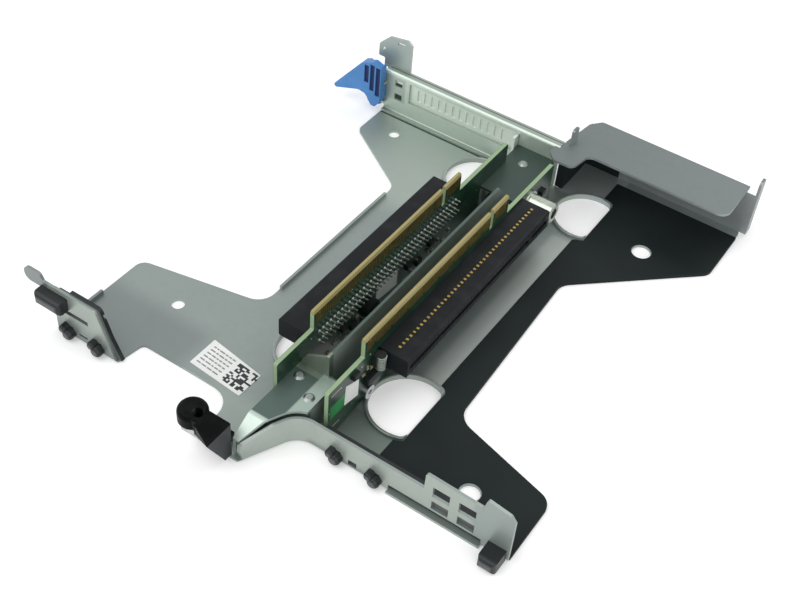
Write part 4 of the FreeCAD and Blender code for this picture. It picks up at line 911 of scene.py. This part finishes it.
@dataclass(frozen=True)
class PlateDetails:
    """Rolled rims of the large holes."""

    rim_width: float = 1.0
    holes: tuple[tuple[float, float, float, float], ...] = (
        (-14.5, -36.0, 12.5, 99.0), (-18.2, 72.1, 12.1, 99.0),
        (23.4, -37.1, 12.8, 25.8), (25.3, 79.0, 12.1, 26.4))

    def build(self, finishes: Finishes) -> None:
        """Make the pieces on the plate."""
        for index, (x, y, radius, end_x) in enumerate(self.holes):
            rims = Shape()
            inner = radius + 0.02
            profile = [(inner, 0.1), (inner, 0.75)]
            for step in range(7):
                angle = math.pi * step / 6
                middle = inner + self.rim_width / 2
                profile.append((middle - math.cos(angle) * self.rim_width / 2 * 0.98,
                                0.95 + math.sin(angle) * 0.16))
            profile.append((inner + self.rim_width, 0.75))
            profile.append((inner + self.rim_width, 0.1))
            rims.lathe((x, y, 1.0), (0, 0, 1), profile, 96)
            rims.trim((end_x, y, 0), (1, 0, 0))
            rims.finish(f"hole_rim_{index + 1}", finishes.cage, "cage_steel")


@dataclass(frozen=True)
class RearWall:
    """Painted shadow lines under the foot and along the top of the left rear wall, and painted shade in its
    two filled square holes.
    """

    left: float = -71.6
    right: float = 6.2
    foot_front: float = 85.3
    foot_right: float = -10.8
    foot_width: float = 0.8
    foot_z: tuple[float, float] = (1.0, 1.03)
    top_y: tuple[float, float] = (89.5, 89.9)
    top_z: tuple[float, float] = (20.0, 20.02)
    hole_x: tuple[float, float] = (-67.2, -63.8)
    hole_y: tuple[float, float] = (87.95, 87.99)
    hole_z: tuple[tuple[float, float], ...] = ((8.0, 9.9), (14.2, 15.1))

    def build(self, finishes: Finishes) -> None:
        """Make the painted shadow lines of the wall and the painted shade on the backs of its square holes.
        """
        seam_shadows = Shape()
        seam_shadows.block((self.left, self.foot_front - self.foot_width, self.foot_z[0]),
                    (self.foot_right, self.foot_front, self.foot_z[1]))
        seam_shadows.block((self.left, self.top_y[0], self.top_z[0]), (self.right, self.top_y[1], self.top_z[1]))
        seam_shadows.finish("wall_seam_shadows", finishes.seam, "wall_steel")
        backs = Shape()
        for low, high in self.hole_z:
            backs.block((self.hole_x[0], self.hole_y[0], low), (self.hole_x[1], self.hole_y[1], high))
        backs.finish("square_hole_shade", finishes.seam, "wall_steel")


@dataclass(frozen=True)
class LatchGrooveShade:
    """Painted shade at the bottoms of the three grooves in the latch's thumb block."""

    bottom_y: float = 83.2
    left: tuple[float, float, float] = (-79.2, -76.5, -73.8)
    width: float = 2.1
    heights: tuple[tuple[float, float], ...] = ((13.3, 21.4), (10.3, 22.5), (8.8, 22.1))

    def build(self, finishes: Finishes) -> None:
        """Line the grooves with painted shade."""
        shape = Shape()
        for x, (low, high) in zip(self.left, self.heights):
            shape.block((x + 0.02, self.bottom_y - 0.06, low + 0.02),
                        (x + self.width - 0.02, self.bottom_y - 0.01, high - 0.02))
        shape.finish("latch_groove_shade_bottoms", finishes.groove_shade, "latch_plastic", ARM)


@dataclass(frozen=True)
class Labels:
    """Printed bars and a block of random cells on the paper labels."""

    top: float = 1.15
    proud: float = 0.02
    seed: int = 5
    corner: Point = (-43.2, -63.4, 0)
    turned: float = -5.0
    line_rows: int = 6
    line_pitch: float = 1.6
    line_width: float = 0.55
    line_end: float = 10.0
    line_gap: float = 0.4
    cell: float = 0.75
    cells: int = 12
    cell_share: float = 0.6
    block_corner: tuple[float, float] = (12.2, 0.8)

    def build(self, finishes: Finishes) -> None:
        """Print the labels."""
        rng = random.Random(self.seed)
        shape = Shape()
        origin = Matrix.Translation(self.corner) @ Matrix.Rotation(math.radians(self.turned), 4, "Z")
        high = self.top + self.proud
        for row in range(self.line_rows):
            along = 1.0
            while along < self.line_end:
                end = min(along + rng.uniform(0.8, 2.4), self.line_end + 0.6)
                low = (along, 1.1 + row * self.line_pitch, self.top)
                shape.block(low, (end, low[1] + self.line_width, high), turn=origin)
                along = end + self.line_gap
        shape.finish("label_lines", finishes.grey_ink, "label_paper")
        block = Shape()
        for column in range(self.cells):
            for row in range(self.cells):
                if rng.random() < self.cell_share:
                    x = self.block_corner[0] + column * self.cell
                    y = self.block_corner[1] + row * self.cell
                    block.block((x, y, self.top), (x + self.cell, y + self.cell, high), turn=origin)
        block.finish("label_block", finishes.ink, "label_paper")


@dataclass(frozen=True)
class PhotoCamera:
    """Camera at the viewing angle of the photograph."""

    place: Point = (148.80, -261.06, 306.38)
    right: Point = (0.82579055, 0.56037529, 0.06363568)
    down: Point = (0.43579969, -0.56241475, -0.70268647)
    ahead: Point = (-0.35797849, 0.60800426, -0.70864817)
    lens: float = 56.556

    def build(self) -> None:
        """Add the camera and make it the scene's own."""
        data = bpy.data.cameras.new("photo_camera")
        data.lens = self.lens
        data.sensor_width = 36.0
        data.clip_start = 0.01
        camera = bpy.data.objects.new("photo_camera", data)
        bpy.context.scene.collection.objects.link(camera)
        rows = (Vector(self.right), -Vector(self.down), -Vector(self.ahead))
        turn = Matrix(rows).transposed().to_4x4()
        camera.matrix_world = Matrix.Translation(Vector(self.place) * MM) @ turn
        bpy.context.scene.camera = camera


@dataclass(frozen=True)
class Studio:
    """Pale floor, pale surroundings and soft lamps."""

    floor_size: float = 6.0
    floor_shade: float = 0.86
    floor_glow: float = 0.22
    surround: float = 0.62
    lamps: tuple[tuple[str, Point, Point, float, float], ...] = (
        ("key", (-0.55, -0.55, 1.10), (0.0, 0.0, 0.0), 1.20, 8.0),
        ("back", (0.30, 0.95, 0.90), (0.0, 0.05, 0.0), 0.90, 4.0),
        ("fill", (0.95, -0.85, 0.55), (0.0, 0.0, 0.0), 0.90, 6.0))

    def build(self) -> None:
        """Add the floor, the world and the lamps."""
        low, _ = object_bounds()
        self._floor(low[2])
        self._world()
        for lamp in self.lamps:
            self._lamp(*lamp)

    def _floor(self, height: float) -> None:
        """Lay the floor under the object."""
        mesh = bmesh.new()
        bmesh.ops.create_grid(mesh, x_segments=1, y_segments=1, size=self.floor_size / 2,
                              matrix=Matrix.Translation((0, 0, height)))
        data = bpy.data.meshes.new("floor")
        mesh.to_mesh(data)
        mesh.free()
        graph = Graph("floor_pale")
        shade = self.floor_shade
        matt = graph.node("ShaderNodeBsdfDiffuse", None, {"Color": (shade, shade, shade, 1.0)})["BSDF"]
        inputs = {"Color": (1.0, 1.0, 1.0, 1.0), "Strength": self.floor_glow}
        glow = graph.node("ShaderNodeEmission", None, inputs)["Emission"]
        both = graph.node("ShaderNodeAddShader", None, {0: matt, 1: glow})["Shader"]
        mixed = graph.node("ShaderNodeMixShader", None, {0: graph.seen(), 1: matt, 2: both})["Shader"]
        graph.node("ShaderNodeOutputMaterial", None, {"Surface": mixed})
        data.materials.append(graph.owner)
        floor = bpy.data.objects.new("floor", data)
        bpy.context.scene.collection.objects.link(floor)
        floor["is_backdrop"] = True

    def _world(self) -> None:
        """Light everything evenly and show white behind the object."""
        graph = Graph("studio", world=True)
        bpy.context.scene.world = graph.owner
        levels = {"Value": graph.seen(), "To Min": self.surround, "To Max": 1.0}
        strength = graph.node("ShaderNodeMapRange", None, levels)["Result"]
        inputs = {"Color": (1.0, 1.0, 1.0, 1.0), "Strength": strength}
        sky = graph.node("ShaderNodeBackground", None, inputs)["Background"]
        graph.node("ShaderNodeOutputWorld", None, {"Surface": sky})

    def _lamp(self, name: str, place: Point, target: Point, size: float, power: float) -> None:
        """Add one soft lamp.

        Args:
            name: its name.
            place: where it hangs, in metres.
            target: where it points, in metres.
            size: the side of its square, in metres.
            power: its power in watts.
        """
        data = bpy.data.lights.new(name, "AREA")
        data.shape = "SQUARE"
        data.size = size
        data.energy = power
        lamp = bpy.data.objects.new(name, data)
        bpy.context.scene.collection.objects.link(lamp)
        aim = (Vector(target) - Vector(place)).to_track_quat("-Z", "Y").to_matrix().to_4x4()
        lamp.matrix_world = Matrix.Translation(Vector(place)) @ aim


def main() -> None:
    logging.basicConfig(level=logging.INFO, format="%(name)s: %(message)s")
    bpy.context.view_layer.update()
    bpy.context.scene.view_settings.view_transform = "Standard"
    PhotoCamera().build()
    Studio().build()
    finishes = Finishes()
    dress_frame(finishes)
    for part in (PlateDetails(), RearWall(), LatchGrooveShade(), RiserBoards(), CardConnectors(), Labels()):
        part.build(finishes)
        LOG.info("built %s", type(part).__name__)


if __name__ == "__main__":
    main()
